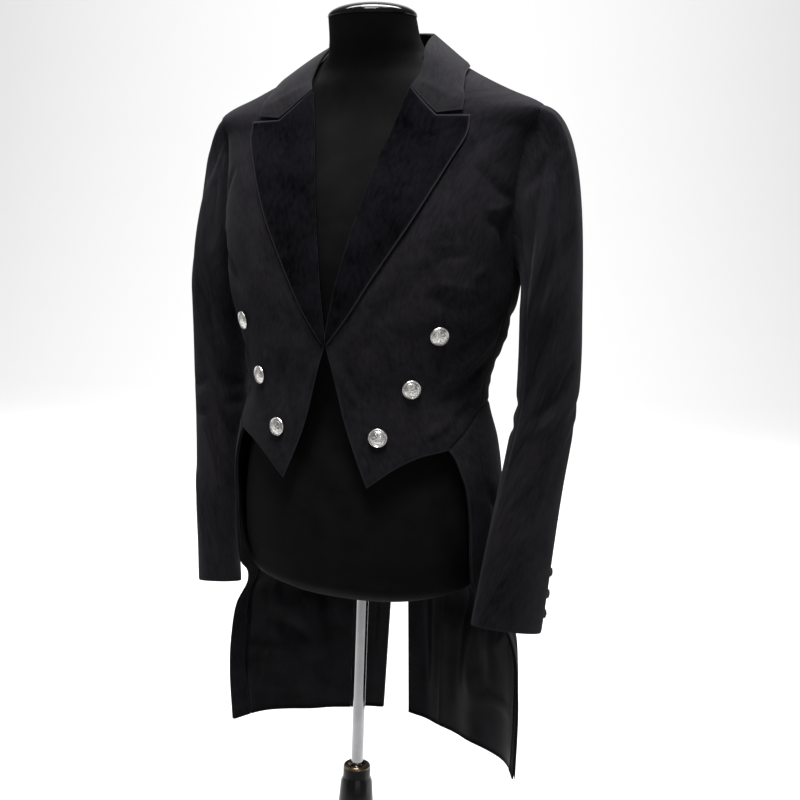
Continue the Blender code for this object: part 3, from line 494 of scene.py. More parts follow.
def side_cut() -> Cut:
    """The side body under the arm, down to the waist seam."""
    rows = 6.0
    side_start = waist_place(np.array([SIDE_SEAM_ANGLE]), HALF_SEAM)[0, 1]
    side_end = armhole_place(SIDE_TURNS[0])[1]

    def side_seam(number: np.ndarray) -> np.ndarray:
        """The seam to the front."""
        heights = [side_start, *SIDE_HEIGHTS[1:-1], side_end]
        return upright(SIDE_SEAM_ANGLE, between(heights, number), HALF_SEAM)

    def back_seam(number: np.ndarray) -> np.ndarray:
        """The seam to the back."""
        height = WAIST_SEAM[-1].height + (BACK_SEAM[-1].height - WAIST_SEAM[-1].height) * number / rows
        return beside(np.stack([BACK_SEAM_CURVE.at(height), height], axis=-1), -HALF_SEAM)

    return Cut(4.0, rows, lambda number: waist_place(between(SIDE_WAIST_ANGLES, number), HALF_SEAM),
               lambda number: armhole_place(between(SIDE_TURNS, number)), side_seam, back_seam)


def tail_cut() -> Cut:
    """The tail's skirt: cut-away front edge, hem, seam to the back and waist seam."""
    columns, rows = 7.0, 11.0
    angles = FRONT_WAIST_ANGLES + SIDE_WAIST_ANGLES[1:]

    def edge(number: np.ndarray) -> np.ndarray:
        """The free front edge."""
        height = TAIL_EDGE[0].height + (TAIL_EDGE[-1].height - HALF_SEAM - TAIL_EDGE[0].height) * number / rows
        return np.stack([TAIL_CURVE.at(height), height], axis=-1)

    def back_seam(number: np.ndarray) -> np.ndarray:
        """The seam to the back."""
        height = BACK_SEAM[0].height + (WAIST_SEAM[-1].height - HALF_SEAM - BACK_SEAM[0].height) * number / rows
        return beside(np.stack([BACK_SEAM_CURVE.at(height), height], axis=-1), -HALF_SEAM)

    def hem(number: np.ndarray) -> np.ndarray:
        """The free hem, straight round the body."""
        return between([edge(np.array([0.0]))[0], back_seam(np.array([0.0]))[0]], number / columns)

    return Cut(columns, rows, hem, lambda number: waist_place(between(angles, number), -HALF_SEAM), edge,
               back_seam)


def back_cut() -> Cut:
    """A back, whole from the shoulder and neck down to the tail's hem."""
    columns, rows = 7.0, 29.0
    waist_row, scye, shoulder_end = 11, 17.0, 3.0
    waist = WAIST_SEAM[-1].height

    def seam(number: np.ndarray) -> np.ndarray:
        """The seam to the tail and the side body."""
        low = BACK_SEAM[0].height + (waist - BACK_SEAM[0].height) * number / waist_row
        high = waist + (BACK_SEAM[-1].height - waist) * (number - waist_row) / (scye - waist_row)
        height = np.where(number <= waist_row, low, high)
        return beside(np.stack([BACK_SEAM_CURVE.at(height), height], axis=-1), HALF_SEAM)

    def armhole(number: np.ndarray) -> np.ndarray:
        """The back's share of the armhole."""
        return armhole_place(between(BACK_TURNS, number - scye))

    def left(number: np.ndarray) -> np.ndarray:
        """The seam, and the armhole above it."""
        return joined(number, scye, seam, armhole)

    def centre(number: np.ndarray) -> np.ndarray:
        """The centre back: the vent's free edge, and the seam above it."""
        height = VENT_HEM.height + (NAPE_HEIGHT - VENT_HEM.height) * number / rows
        opening = np.clip((VENT_TOP - height) / (VENT_TOP - VENT_HEM.height), 0, 1)
        middle = upright(180.0, height, -HALF_SEAM)[:, 0]
        return np.stack([middle - (180 - VENT_HEM.angle) * opening**0.8, height], axis=-1)

    def shoulder(number: np.ndarray) -> np.ndarray:
        """The shoulder seam, from the armhole to the neck."""
        height = ARMHOLE[0].height + (NECK_POINT_HEIGHT - ARMHOLE[0].height) * number / shoulder_end
        return upright(90.0, height, HALF_SEAM)

    def neck(number: np.ndarray) -> np.ndarray:
        """The neck's edge, from the shoulder to the centre back."""
        ends = [shoulder(np.array([shoulder_end]))[0], centre(np.array([rows]))[0]]
        return between(ends, (number - shoulder_end) / (columns - shoulder_end))

    def hem(number: np.ndarray) -> np.ndarray:
        """The free hem, straight round the body."""
        return between([left(np.array([0.0]))[0], centre(np.array([0.0]))[0]], number / columns)

    return Cut(columns, rows, hem, lambda number: joined(number, shoulder_end, shoulder, neck), left, centre,
               fade=4.0)


def lapel_cut() -> Cut:
    """A lapel: roll line, outer edge, and the gorge and peak along its top."""
    columns, rows, notch_column = 5.0, 13.0, 2.0
    low, high = ROLL_LINE[0].height + 0.002, ROLL_LINE[-1].height

    def roll(number: np.ndarray) -> np.ndarray:
        """The roll line."""
        return brim_place(ROLL_LINE, low + (high - low) * number / rows)

    def edge(number: np.ndarray) -> np.ndarray:
        """The outer edge, up to the peak."""
        height = LAPEL_EDGE[0].height + (LAPEL_EDGE[-1].height - LAPEL_EDGE[0].height) * number / rows
        return brim_place(LAPEL_EDGE, height)

    height = NOTCH.height - NOTCH_OPENING / 2
    notch = np.array([float(COAT.angle_of(NOTCH.across, height)), height])
    gorge, peak = roll(np.array([rows]))[0], edge(np.array([rows]))[0]

    def seam(number: np.ndarray) -> np.ndarray:
        """The gorge seam, from the roll line to the notch."""
        return between([gorge, notch], number / notch_column)

    def rise(number: np.ndarray) -> np.ndarray:
        """The peak's upper edge, from the notch out."""
        return between([notch, peak], (number - notch_column) / (columns - notch_column))

    def foot(number: np.ndarray) -> np.ndarray:
        """The short lower end, by the closure."""
        return between([roll(np.array([0.0]))[0], edge(np.array([0.0]))[0]], number / columns)

    return Cut(columns, rows, foot, lambda number: joined(number, notch_column, seam, rise), roll, edge)


def fine(count: float, grain: int, hug: Sequence[float] = (0.05, 0.12)) -> np.ndarray:
    """Column or row numbers, even along the middle and close together by both edges.

    Args:
        count: how many whole steps there are.
        grain: how many fine steps make a whole one.
        hug: how far in from an edge the extra numbers stand.

    Returns:
        The numbers, rising.
    """
    even = np.linspace(0, count, int(round(count * grain)) + 1)
    extra = np.array(list(hug) + [count - near for near in hug])
    return np.unique(np.round(np.concatenate([even, extra]), 6))


@dataclass(frozen=True)
class Crease:
    """A soft trough (negative depth) or ridge of the cloth, on a smooth line through a few places."""

    places: tuple[tuple[float, float], ...]
    width: float
    depth: float
    steps: int = 18

    def lift(self, points: np.ndarray, surface: Edge) -> np.ndarray:
        """How far the crease moves the cloth.

        Args:
            points: points of the flat cloth.
            surface: gives the cloth's points at an array of places.

        Returns:
            A distance for each point.
        """
        knots = np.linspace(0, 1, len(self.places))
        path = surface(Curve(knots, self.places).at(np.linspace(0, 1, self.steps + 1)))
        nearest, share = np.full(points.shape[:-1], np.inf), np.zeros(points.shape[:-1])
        for step, (start, end) in enumerate(zip(path, path[1:])):
            run = end - start
            part = np.clip((points - start) @ run / (run @ run), 0, 1)
            apart = np.linalg.norm(points - start - run * part[..., None], axis=-1)
            share = np.where(apart < nearest, (step + part) / self.steps, share)
            nearest = np.minimum(nearest, apart)
        taper = 1 - np.abs(2 * share - 1) ** 2.5 * 0.85
        return self.depth * taper * np.exp(-((nearest / (self.width * (0.6 + 0.4 * taper))) ** 2))


@dataclass(frozen=True)
class Free:
    """The share of each edge, from its start, that is a free edge and not a seam."""

    left: float = 0.0
    right: float = 0.0
    bottom: float = 0.0
    top: float = 0.0


def edge_distances(points: np.ndarray) -> dict[str, np.ndarray]:
    """How far each point of a grid is from the grid's four edges, along the cloth."""
    across = np.zeros(points.shape[:2])
    across[:, 1:] = np.cumsum(np.linalg.norm(np.diff(points, axis=1), axis=-1), axis=1)
    up = np.zeros(points.shape[:2])
    up[1:] = np.cumsum(np.linalg.norm(np.diff(points, axis=0), axis=-1), axis=0)
    return {"left": across, "right": across[:, -1:] - across, "bottom": up, "top": up[-1:] - up}


def tilted(points: np.ndarray) -> np.ndarray:
    """Points with the shoulders' slight rise towards the wearer's left."""
    climb = np.clip((points[..., 2] - TILT_STARTS) / (TILT_WHOLE - TILT_STARTS), 0, 1)
    moved = points.copy()
    moved[..., 2] += SHOULDER_TILT * points[..., 0] * climb * climb * (3 - 2 * climb)
    return moved


def placed(points: np.ndarray, side: Side) -> np.ndarray:
    """Points of a piece made for the wearer's left, on a side and with the shoulders' tilt."""
    return tilted(points * np.array([side.value, 1, 1]))


def finish_mesh(name: str, shell: bmesh.types.BMesh, material: bpy.types.Material, body: str, slot: str,
                sharp: float = 50.0) -> bpy.types.Object:
    """Turn a bmesh into a finished piece.

    Args:
        name: the piece's name.
        shell: its closed shape, which is freed.
        material: its material.
        body: the CAD body that it rides on.
        slot: not used.
        sharp: edges that bend more than this angle in degrees stay sharp.

    Returns:
        The new object.
    """
    mesh = bpy.data.meshes.new(name)
    shell.to_mesh(mesh)
    shell.free()
    mesh.shade_smooth()
    mesh.set_sharp_from_angle(angle=math.radians(sharp))
    mesh.materials.append(material)
    made = bpy.data.objects.new(name, mesh)
    bpy.context.scene.collection.objects.link(made)
    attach(made, body)
    LOG.info("%s: %d faces on %s", name, len(mesh.polygons), body)
    return made


def cloth_wall(name: str, outer: np.ndarray, inner: np.ndarray, edge: np.ndarray,
               material: bpy.types.Material, slot: str) -> bpy.types.Object:
    """A closed wall of cloth between two matching grids of points.

    Args:
        name: the piece's name.
        outer: rows by columns of points on the outer face.
        inner: the same on the inner face.
        edge: how near each point is to a free edge, from 0 to 1, which the materials use to paint a highlight
            along the edge.
        material: the cloth's material.
        slot: the record's material slot.

    Returns:
        The new object, with a map in metres along the cloth.
    """
    rows, columns = outer.shape[:2]
    shell = bmesh.new()
    bmesh.ops.create_grid(shell, x_segments=columns - 1, y_segments=rows - 1, size=1.0)
    number = shell.verts.layers.int.new("number")
    # The nearness to a free edge, kept for the materials' painted edge highlight.
    near = shell.verts.layers.float.new("edge")
    weave = shell.loops.layers.uv.new("weave")
    for index, vertex in enumerate(shell.verts):
        vertex[number] = index
    made = bmesh.ops.extrude_face_region(shell, geom=list(shell.faces), use_keep_orig=True)
    moved = {item for item in made["geom"] if isinstance(item, bmesh.types.BMVert)}
    reach = edge_distances(outer)
    # Each piece reads its own part of the pattern, so that the left side doesn't mirror the right.
    apart = sum(map(ord, name)) % 17 * 0.37
    flat = (np.stack([reach["left"], reach["bottom"]], axis=-1) + apart).reshape(-1, 2).tolist()
    faces = {True: inner.reshape(-1, 3).tolist(), False: outer.reshape(-1, 3).tolist()}
    nearness = edge.reshape(-1).tolist()
    for vertex in shell.verts:
        vertex.co = faces[vertex in moved][vertex[number]]
        vertex[near] = nearness[vertex[number]]
    for face in shell.faces:
        for corner in face.loops:
            corner[weave].uv = flat[corner.vert[number]]
    bmesh.ops.recalc_face_normals(shell, faces=shell.faces)
    if shell.calc_volume(signed=True) < 0:
        bmesh.ops.reverse_faces(shell, faces=shell.faces)
    return finish_mesh(name, shell, material, "form", slot)


def edge_shape(points: np.ndarray, free: Free) -> tuple[np.ndarray, np.ndarray]:
    """How a panel's seams and free edges shape it.

    Args:
        points: the panel's grid of points.
        free: which edges are free.

    Returns:
        How far each point lies in a seam's groove or an edge's turn, and how near it is to a free edge, which
        rounds the edge and masks the materials' painted edge highlight.
    """
    groove, near = np.zeros(points.shape[:2]), np.zeros(points.shape[:2])
    rows, columns = points.shape[:2]
    up, along = np.linspace(0, 1, rows)[:, None], np.linspace(0, 1, columns)[None]
    for name, distance in edge_distances(points).items():
        is_side = name in ("left", "right")
        share = up if is_side else along
        is_free = np.broadcast_to(share <= getattr(free, name), points.shape[:2])
        depth = SEAM_GROOVE if is_side else np.where(points[..., 2] < WAIST_TOP, WAIST_GROOVE, SEAM_GROOVE)
        groove = np.maximum(groove, np.where(is_free, 0.0, depth) * np.exp(-((distance / GROOVE_REACH) ** 2)))
        # Nearness to a free edge: it rounds the edge here and masks the painted edge highlight.
        near = np.maximum(near, np.where(is_free, 1.0, 0.0) * np.exp(-((distance / EDGE_REACH) ** 2)))
    return groove, near


def away_from_seams(groove: np.ndarray) -> np.ndarray:
    """A share for creases, 1 on open cloth and 0 at a seam, where the cloth next to it must meet."""
    return 1 - np.clip(groove / SEAM_GROOVE, 0, 1) ** 0.3


@dataclass
class Panel:
    """One panel of cloth on the coat's body shape."""

    name: str
    node: str
    side: Side
    cut: Cut
    flat: tuple[float, float]
    area: float
    material: bpy.types.Material
    slot: str = "twill"
    out: float = 0.0
    thickness: float = CLOTH
    grain: int = 6
    creases: Sequence[Crease] = ()
    free: Free = field(default_factory=Free)
    hold: Hold = Hold.HUNG
    rests_on: Sequence[str] = ("form_torso",)
    columns: tuple[float, float] | None = None
    rows: tuple[float, float] | None = None

    def numbers(self) -> tuple[np.ndarray, np.ndarray]:
        """The panel's column and row numbers."""
        columns, rows = fine(self.cut.columns, self.grain), fine(self.cut.rows, self.grain)
        if self.columns:
            low, high = self.columns
            columns = low + fine(high - low, self.grain)
        if self.rows:
            low, high = self.rows
            rows = low + fine(high - low, self.grain)
        return columns, rows

    def lift(self, points: np.ndarray) -> np.ndarray:
        """How far the creases move each point."""
        total = np.zeros(points.shape[:2])
        for crease in self.creases:
            total += crease.lift(points, COAT.base)
        return total

    def finish(self, outer: np.ndarray, inner: np.ndarray, near: np.ndarray) -> bpy.types.Object:
        """Make the panel's wall on its side.

        Args:
            outer: points of the outer face, as for the wearer's left.
            inner: the same on the inner face.
            near: how near each point is to a free edge, where the materials paint a highlight.

        Returns:
            The new object.
        """
        made = cloth_wall(self.name, placed(outer, self.side), placed(inner, self.side), near, self.material,
                          self.slot)
        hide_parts(self.node)
        list(self.rests_on)
        return made

    def build(self) -> bpy.types.Object:
        """Make the panel.

        Returns:
            The new object.
        """
        places = self.cut.places(*self.numbers())
        points = COAT.base(places)
        groove, near = edge_shape(points, self.free)
        lift = self.out + self.lift(points) * away_from_seams(groove)
        turn = near * self.thickness * EDGE_TURN
        outer = COAT.point(places, lift - groove - turn)
        inner = COAT.point(places, lift - groove - self.thickness + turn)
        return self.finish(outer, inner, near)


@dataclass
class Lapel(Panel):
    """A lapel: a panel that rolls round the front's edge and lifts a little along its outer edge."""

    roll_steps: int = 7
    roll_radius: float = 0.0027
    roll_middle: float = 0.0006
    edge_lift: float = 0.0020
    edge_turn: float = 0.4
    peak_share: float = 0.93

    def build(self) -> bpy.types.Object:
        """Make the lapel with its roll.

        Returns:
            The new object.
        """
        columns, rows = self.numbers()
        places = self.cut.places(columns, rows)
        points = COAT.base(places)
        along = np.sin(np.pi * np.clip(rows / self.cut.rows, 0, self.peak_share))
        rising = (columns / self.cut.columns)[None] ** 2 * along[:, None]
        lift = self.out + self.edge_lift * rising + self.lift(points)
        _, near = edge_shape(points, self.free)
        turn = near * self.thickness * self.edge_turn
        outer, inner = COAT.point(places, lift - turn), COAT.point(places, lift - self.thickness + turn)
        edge = places[:, 0]
        ahead = COAT.base(edge - np.array([0.5, 0.0])) - COAT.base(edge)
        ahead /= np.linalg.norm(ahead, axis=-1, keepdims=True)
        normal = COAT.normal(edge)
        reach = np.minimum(self.roll_radius, 0.8 * np.abs(points[:, :1, 0]) + 0.0002)
        round_outer, round_inner = [], []
        walls = ((round_outer, self.roll_radius), (round_inner, self.roll_radius - self.thickness))
        for step in range(self.roll_steps, 0, -1):
            bend = math.pi * step / self.roll_steps
            for grid, radius in walls:
                out = self.roll_middle + radius * math.cos(bend)
                aside = ahead * reach * (radius / self.roll_radius) * math.sin(bend)
                grid.append(points[:, 0] + normal * out + aside)
        outer = np.concatenate([np.stack(round_outer, axis=1), outer], axis=1)
        inner = np.concatenate([np.stack(round_inner, axis=1), inner], axis=1)
        near = np.concatenate([np.zeros((len(rows), self.roll_steps)), near], axis=1)
        return self.finish(outer, inner, near)


@dataclass
class SleeveShape:
    """The sleeve's tube: a cap that leaves the armhole, and sections below it."""

    cap_rows: int = 6
    arm_rows: int = 11
    cap_spread: float = 1.4
    seam: float = 0.0002
    sink: float = 0.0008
    sections: Sequence[Section] = (
        Section(1.180, 0.2425, 0.026, 0.0365, 0.0700, 0.0, 0.00),
        Section(1.120, 0.2435, 0.029, 0.0370, 0.0660, 2.0, 0.00),
        Section(1.060, 0.2430, 0.027, 0.0365, 0.0620, 5.0, 0.00),
        Section(1.000, 0.2380, 0.018, 0.0350, 0.0610, 10.0, 0.00),
        Section(0.940, 0.2330, 0.005, 0.0320, 0.0620, 15.0, 0.03),
        Section(0.880, 0.2290, -0.008, 0.0295, 0.0630, 19.0, 0.09),
        Section(0.818, 0.2235, -0.014, 0.0285, 0.0640, 21.0, 0.18),
        Section(0.762, 0.2180, -0.018, 0.0290, 0.0650, 21.0, 0.26),
    )

    def __post_init__(self) -> None:
        """Read the tables as curves."""
        self.levels = Curve(np.linspace(0, 1, len(self.sections)), self.sections)
        self.leaving = Curve([0, 45, 90, 180, 270, 315, 360], [16, 48, 80, 90, 64, 44, 16])
        self.reach = Curve([0, 45, 90, 180, 270, 315, 360], [0.180, 0.130, 0.075, 0.022, 0.100, 0.150, 0.180])
        self.arrival = Curve([0, 90, 180, 270, 360], [0.240, 0.140, 0.040, 0.200, 0.240])

    def tube(self, share: np.ndarray, turn: np.ndarray) -> np.ndarray:
        """Points of the tube below the cap, by the share of its length and the turn round it."""
        height, x, y, thin, wide, lean, slant = np.moveaxis(self.levels.at(share), -1, 0)
        around, lean = np.radians(turn), np.radians(lean)
        out, ahead = thin * np.cos(around), wide * np.sin(around)
        return np.stack([x + out * np.cos(lean) - ahead * np.sin(lean),
                         y - out * np.sin(lean) - ahead * np.cos(lean), height + slant * ahead], axis=-1)

    def point(self, row: np.ndarray, turn: np.ndarray) -> np.ndarray:
        """Points of the sleeve's outer face.

        Args:
            row: row numbers, 0 at the armhole and cap_rows where the tube starts.
            turn: turns round the sleeve in degrees.

        Returns:
            The points, in the last axis.
        """
        row, turn = np.broadcast_arrays(np.asarray(row, dtype=float), np.asarray(turn, dtype=float))
        share = (np.clip(row / self.cap_rows, 0, 1) ** self.cap_spread)[..., None]
        place = armhole_place(turn)
        along = COAT.base(armhole_place(turn + 3)) - COAT.base(armhole_place(turn - 3))
        along /= np.linalg.norm(along, axis=-1, keepdims=True)
        normal = COAT.normal(place)
        into = np.cross(normal, along)
        lean = np.radians(self.leaving.at(turn % 360.0))[..., None]
        leaving = into * np.cos(lean) + normal * np.sin(lean)
        start = COAT.base(place) + into * self.seam - normal * self.sink
        end = self.tube(np.zeros(turn.shape), turn)
        down = self.tube(np.full(turn.shape, 0.02), turn) - end
        down /= np.linalg.norm(down, axis=-1, keepdims=True)
        leave = leaving * self.reach.at(turn % 360.0)[..., None]
        arrive = down * self.arrival.at(turn % 360.0)[..., None]
        cap = start * (1 + 2 * share) * (1 - share) ** 2 + leave * share * (1 - share) ** 2
        cap = cap + end * share**2 * (3 - 2 * share) + arrive * share**2 * (share - 1)
        below = self.tube(np.clip((row - self.cap_rows) / self.arm_rows, 0, 1), turn)
        return np.where((row >= self.cap_rows)[..., None], below, cap)

    def normal(self, row: np.ndarray, turn: np.ndarray) -> np.ndarray:
        """Outward normals of the sleeve at rows and turns."""
        low = np.maximum(np.asarray(row, dtype=float) - 0.02, 0.0)
        high = np.minimum(np.asarray(row, dtype=float) + 0.02, self.cap_rows + self.arm_rows)
        length = self.point(high, turn) - self.point(low, turn)
        girth = self.point(row, turn + 1) - self.point(row, turn - 1)
        across = np.cross(girth, length)
        return across / np.linalg.norm(across, axis=-1, keepdims=True)

    def row_at(self, height: float) -> float:
        """The row number of a height below the cap."""
        low, high = self.sections[0].height, self.sections[-1].height
        return self.cap_rows + self.arm_rows * (low - height) / (low - high)


SLEEVE = SleeveShape()


@dataclass
class SleevePiece:
    """One cut piece of a sleeve, from the armhole to the cuff."""

    name: str
    node: str
    side: Side
    turns: tuple[float, float]
    flat: tuple[float, float]
    area: float
    material: bpy.types.Material
    across: int = 56
    creases: Sequence[Crease] = ()
    row_grain: int = 8
    groove_row: float = 0.4

    @staticmethod
    def surface(places: np.ndarray) -> np.ndarray:
        """Points of the sleeve at places, each a turn round it and a row."""
        return SLEEVE.point(places[..., 1], places[..., 0])

    def build(self) -> bpy.types.Object:
        """Make the piece.

        Returns:
            The new object.
        """
        low, high = self.turns
        turns = low + (high - low) * fine(self.across, 1, (0.35,)) / self.across
        rows = fine(SLEEVE.cap_rows + SLEEVE.arm_rows, self.row_grain, (0.02, 0.05))
        middle = SLEEVE.point(rows[:, None], turns[None])
        girth = np.linalg.norm(np.gradient(middle, turns, axis=1), axis=-1)
        inward = np.zeros(len(turns))
        inward[0], inward[-1] = HALF_SEAM, -HALF_SEAM
        turned = turns[None] + inward[None] / girth
        rows = np.broadcast_to(rows[:, None], turned.shape)
        points = SLEEVE.point(rows, turned)
        normal = SLEEVE.normal(rows, turned)
        groove, near = edge_shape(points, Free(top=1.0))
        groove[:, 1:-1] *= np.clip(rows[:, 1:-1] / self.groove_row, 0, 1)
        lift = np.zeros(points.shape[:2])
        for crease in self.creases:
            lift += crease.lift(points, self.surface)
        lift *= away_from_seams(groove)
        turn = near * CLOTH * EDGE_TURN
        outer = points + normal * (lift - groove - turn)[..., None]
        inner = points + normal * (lift - groove - CLOTH + turn)[..., None]
        made = cloth_wall(self.name, placed(outer, self.side), placed(inner, self.side), near, self.material,
                          "twill")
        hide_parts(self.node)
        return made


@dataclass
class Collar:
    """The collar's leaf and stand, each in one piece round the neck."""

    material: bpy.types.Material
    centre: float = 0.002
    rows: Sequence[CollarRow] = (
        CollarRow(56.0, 0.0905, 1.466, 68.6, 1.433),
        CollarRow(68.0, 0.0800, 1.493, 72.0, 1.449),
        CollarRow(80.0, 0.0720, 1.509, 79.0, 1.468),
        CollarRow(92.0, 0.0690, 1.518, 92.0, 1.480),
        CollarRow(112.0, 0.0690, 1.526, 113.0, 1.482),
        CollarRow(136.0, 0.0700, 1.531, 136.0, 1.479),
        CollarRow(158.0, 0.0710, 1.534, 158.0, 1.476),
        CollarRow(180.0, 0.0715, 1.535, 180.0, 1.475),
    )
    swell: float = 0.0018
    lying: float = 0.0022
    below_fold: float = 0.0027
    behind_fold: float = 0.0022
    stand_thickness: float = 0.0016
    shares: int = 22
    end_steps: int = 7
    angle_steps: int = 52

    def __post_init__(self) -> None:
        """Read the table as a curve."""
        self.curve = Curve([row.angle for row in self.rows], [row[1:] for row in self.rows])

    def around(self, angle: np.ndarray, radius: np.ndarray, height: np.ndarray) -> np.ndarray:
        """Points round the neck at angles, radii and heights."""
        turn = np.radians(angle)
        aside, ahead = radius * np.sin(turn), self.centre - radius * np.cos(turn)
        return np.stack([aside, ahead, height + 0 * turn], axis=-1)

    def leaf_places(self, angles: np.ndarray) -> tuple[np.ndarray, np.ndarray]:
        """The fold line's points and the leaf edge's places at angles."""
        radius, height, edge_angle, edge_height = np.moveaxis(self.curve.at(angles), -1, 0)
        return self.around(angles, radius, height), np.stack([edge_angle, edge_height], axis=-1)

    def leaf_grid(self) -> np.ndarray:
        """The leaf's outer points, rows from the front end to the back and columns from fold to edge."""
        shares = np.linspace(0, 1, self.shares + 1)[None, :, None]
        angles = np.linspace(self.rows[0].angle, 180.0, self.angle_steps + 1)
        fold, edge = self.leaf_places(angles)
        lying = self.lying + VELVET
        edge_points, lift = COAT.point(edge, lying)[:, None], COAT.normal(edge)[:, None]
        swell = self.swell * np.sin(np.pi * shares**0.7)
        leaf = fold[:, None] + (edge_points - fold[:, None]) * shares + lift * swell
        gorge = brim_place(ROLL_LINE, np.array([ROLL_LINE[-1].height]))[0] + [0.0, NOTCH_OPENING / 2]
        height = NOTCH.height + NOTCH_OPENING / 2
        notch = np.array([float(COAT.angle_of(NOTCH.across, height)), height])
        corner_angle = float(COAT.angle_of(COLLAR_CORNER.across, COLLAR_CORNER.height))
        corner = np.array([corner_angle, COLLAR_CORNER.height])
        end = COAT.point(between([gorge, notch, corner], shares[0, :, 0] * 2), lying)
        steps = np.linspace(0, 1, self.end_steps + 1)[:-1, None, None]
        front = end[None] + (leaf[:1] - end[None]) * steps
        front += lift[:1] * self.swell * 0.8 * np.sin(np.pi * shares) * np.sin(np.pi * steps * 0.5)
        return np.concatenate([front, leaf], axis=0)

    @staticmethod
    def both_sides(points: np.ndarray) -> np.ndarray:
        """Rows for the whole collar from those of the wearer's left half."""
        return np.concatenate([points, points[-2::-1] * np.array([-1, 1, 1])], axis=0)

    def build_leaf(self) -> bpy.types.Object:
        """Make the leaf with its rounded fold."""
        outer = self.leaf_grid()
        run, along = np.gradient(outer, axis=1), np.gradient(outer, axis=0)
        normal = np.cross(along, run)
        normal /= np.linalg.norm(normal, axis=-1, keepdims=True)
        facing = np.sign(np.sum(normal * (outer - np.array([0, self.centre, 1.40])), axis=-1, keepdims=True))
        normal = normal * facing
        outer, normal = self.both_sides(outer), self.both_sides(normal)
        _, near = edge_shape(outer, Free(right=1.0, bottom=1.0, top=1.0))
        turn = (near * VELVET * 0.3)[..., None]
        inner = outer - normal * (VELVET - turn)
        outer = outer - normal * turn
        made = cloth_wall("collar_leaf_cloth", tilted(outer), tilted(inner), near, self.material, "twill")
        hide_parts("collar_leaf")
        return made

    def build_stand(self, front: Cut, back: Cut) -> bpy.types.Object:
        """Make the stand on the panels' neck edge.

        Args:
            front: the fronts' cut, whose neck corner starts the stand.
            back: the backs' cut, whose neck edge carries it.

        Returns:
            The new object.
        """
        start = front.places(np.array([0.0]), np.array([front.rows - 1, front.rows]))[:, 0]
        neck = back.places(np.linspace(3, back.columns, 25), np.array([back.rows]))[0]
        places = np.concatenate([between([start[0], neck[0]], np.linspace(0, 1, 9))[:-1], neck])
        foot, facing = COAT.base(places), COAT.normal(places)
        angles = np.degrees(np.arctan2(foot[:, 0], self.centre - foot[:, 1]))
        angles[-1] = 180.0
        foot[-1, 0] = 0.0
        radius, height, _, _ = np.moveaxis(self.curve.at(angles), -1, 0)
        top = self.around(angles, radius - self.behind_fold, height - self.below_fold)
        climb = (top - foot) / np.linalg.norm(top - foot, axis=-1, keepdims=True)
        foot = foot + climb * SEAM * 1.5
        outward = self.around(angles, np.ones(len(angles)), np.zeros(len(angles)))
        outward = outward - np.array([0, self.centre, 0])
        shares = np.linspace(0, 1, 9)[None, :, None]
        outer = foot[:, None] + (top - foot)[:, None] * shares
        face = facing[:, None] + (outward - facing)[:, None] * shares
        inner = outer - face * self.stand_thickness
        outer, inner = self.both_sides(outer), self.both_sides(inner)
        made = cloth_wall("collar_stand_cloth", tilted(outer), tilted(inner), np.zeros(outer.shape[:2]),
                          self.material, "twill")
        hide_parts("collar_stand")
        return made


@dataclass
class Turning:
    """A turned piece: an outline of radii and heights, spun round an upright axis."""

    name: str
    node: str
    profile: Sequence[tuple[float, float]]
    material: bpy.types.Material
    slot: str
    body: str
    steps: int = 64
    centre: Point = (0.0, 0.0, 0.0)
    seat: Matrix | None = None
    relief: Callable[[float, float], float] | None = None
    tilt: bool = False

    def build(self) -> bpy.types.Object:
        """Spin the outline, raise its relief and set it in its place.

        Returns:
            The new object.
        """
        shell = bmesh.new()
        points = [shell.verts.new((radius, 0, height)) for radius, height in self.profile]
        edges = [shell.edges.new(pair) for pair in zip(points, points[1:])]
        if self.profile[0][0] > 1e-6:
            edges.append(shell.edges.new((points[-1], points[0])))
        bmesh.ops.spin(shell, geom=points + edges, cent=(0, 0, 0), axis=(0, 0, 1), angle=2 * math.pi,
                       steps=self.steps, use_merge=True)
        bmesh.ops.remove_doubles(shell, verts=shell.verts, dist=1e-6)
        bmesh.ops.recalc_face_normals(shell, faces=shell.faces)
        if shell.calc_volume(signed=True) < 0:
            bmesh.ops.reverse_faces(shell, faces=shell.faces)
        if self.relief:
            for vertex in shell.verts:
                radius = math.hypot(vertex.co.x, vertex.co.y)
                if vertex.normal.z > 0.2:
                    vertex.co.z += self.relief(radius, math.atan2(vertex.co.y, vertex.co.x))
        seat = self.seat if self.seat is not None else Matrix.Translation(Vector(self.centre))
        bmesh.ops.transform(shell, matrix=seat, verts=shell.verts)
        if self.tilt:
            for vertex in shell.verts:
                vertex.co = tilted(np.array(vertex.co))
        made = finish_mesh(self.name, shell, self.material, self.body, self.slot, 35.0)
        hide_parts(self.node)
        return made


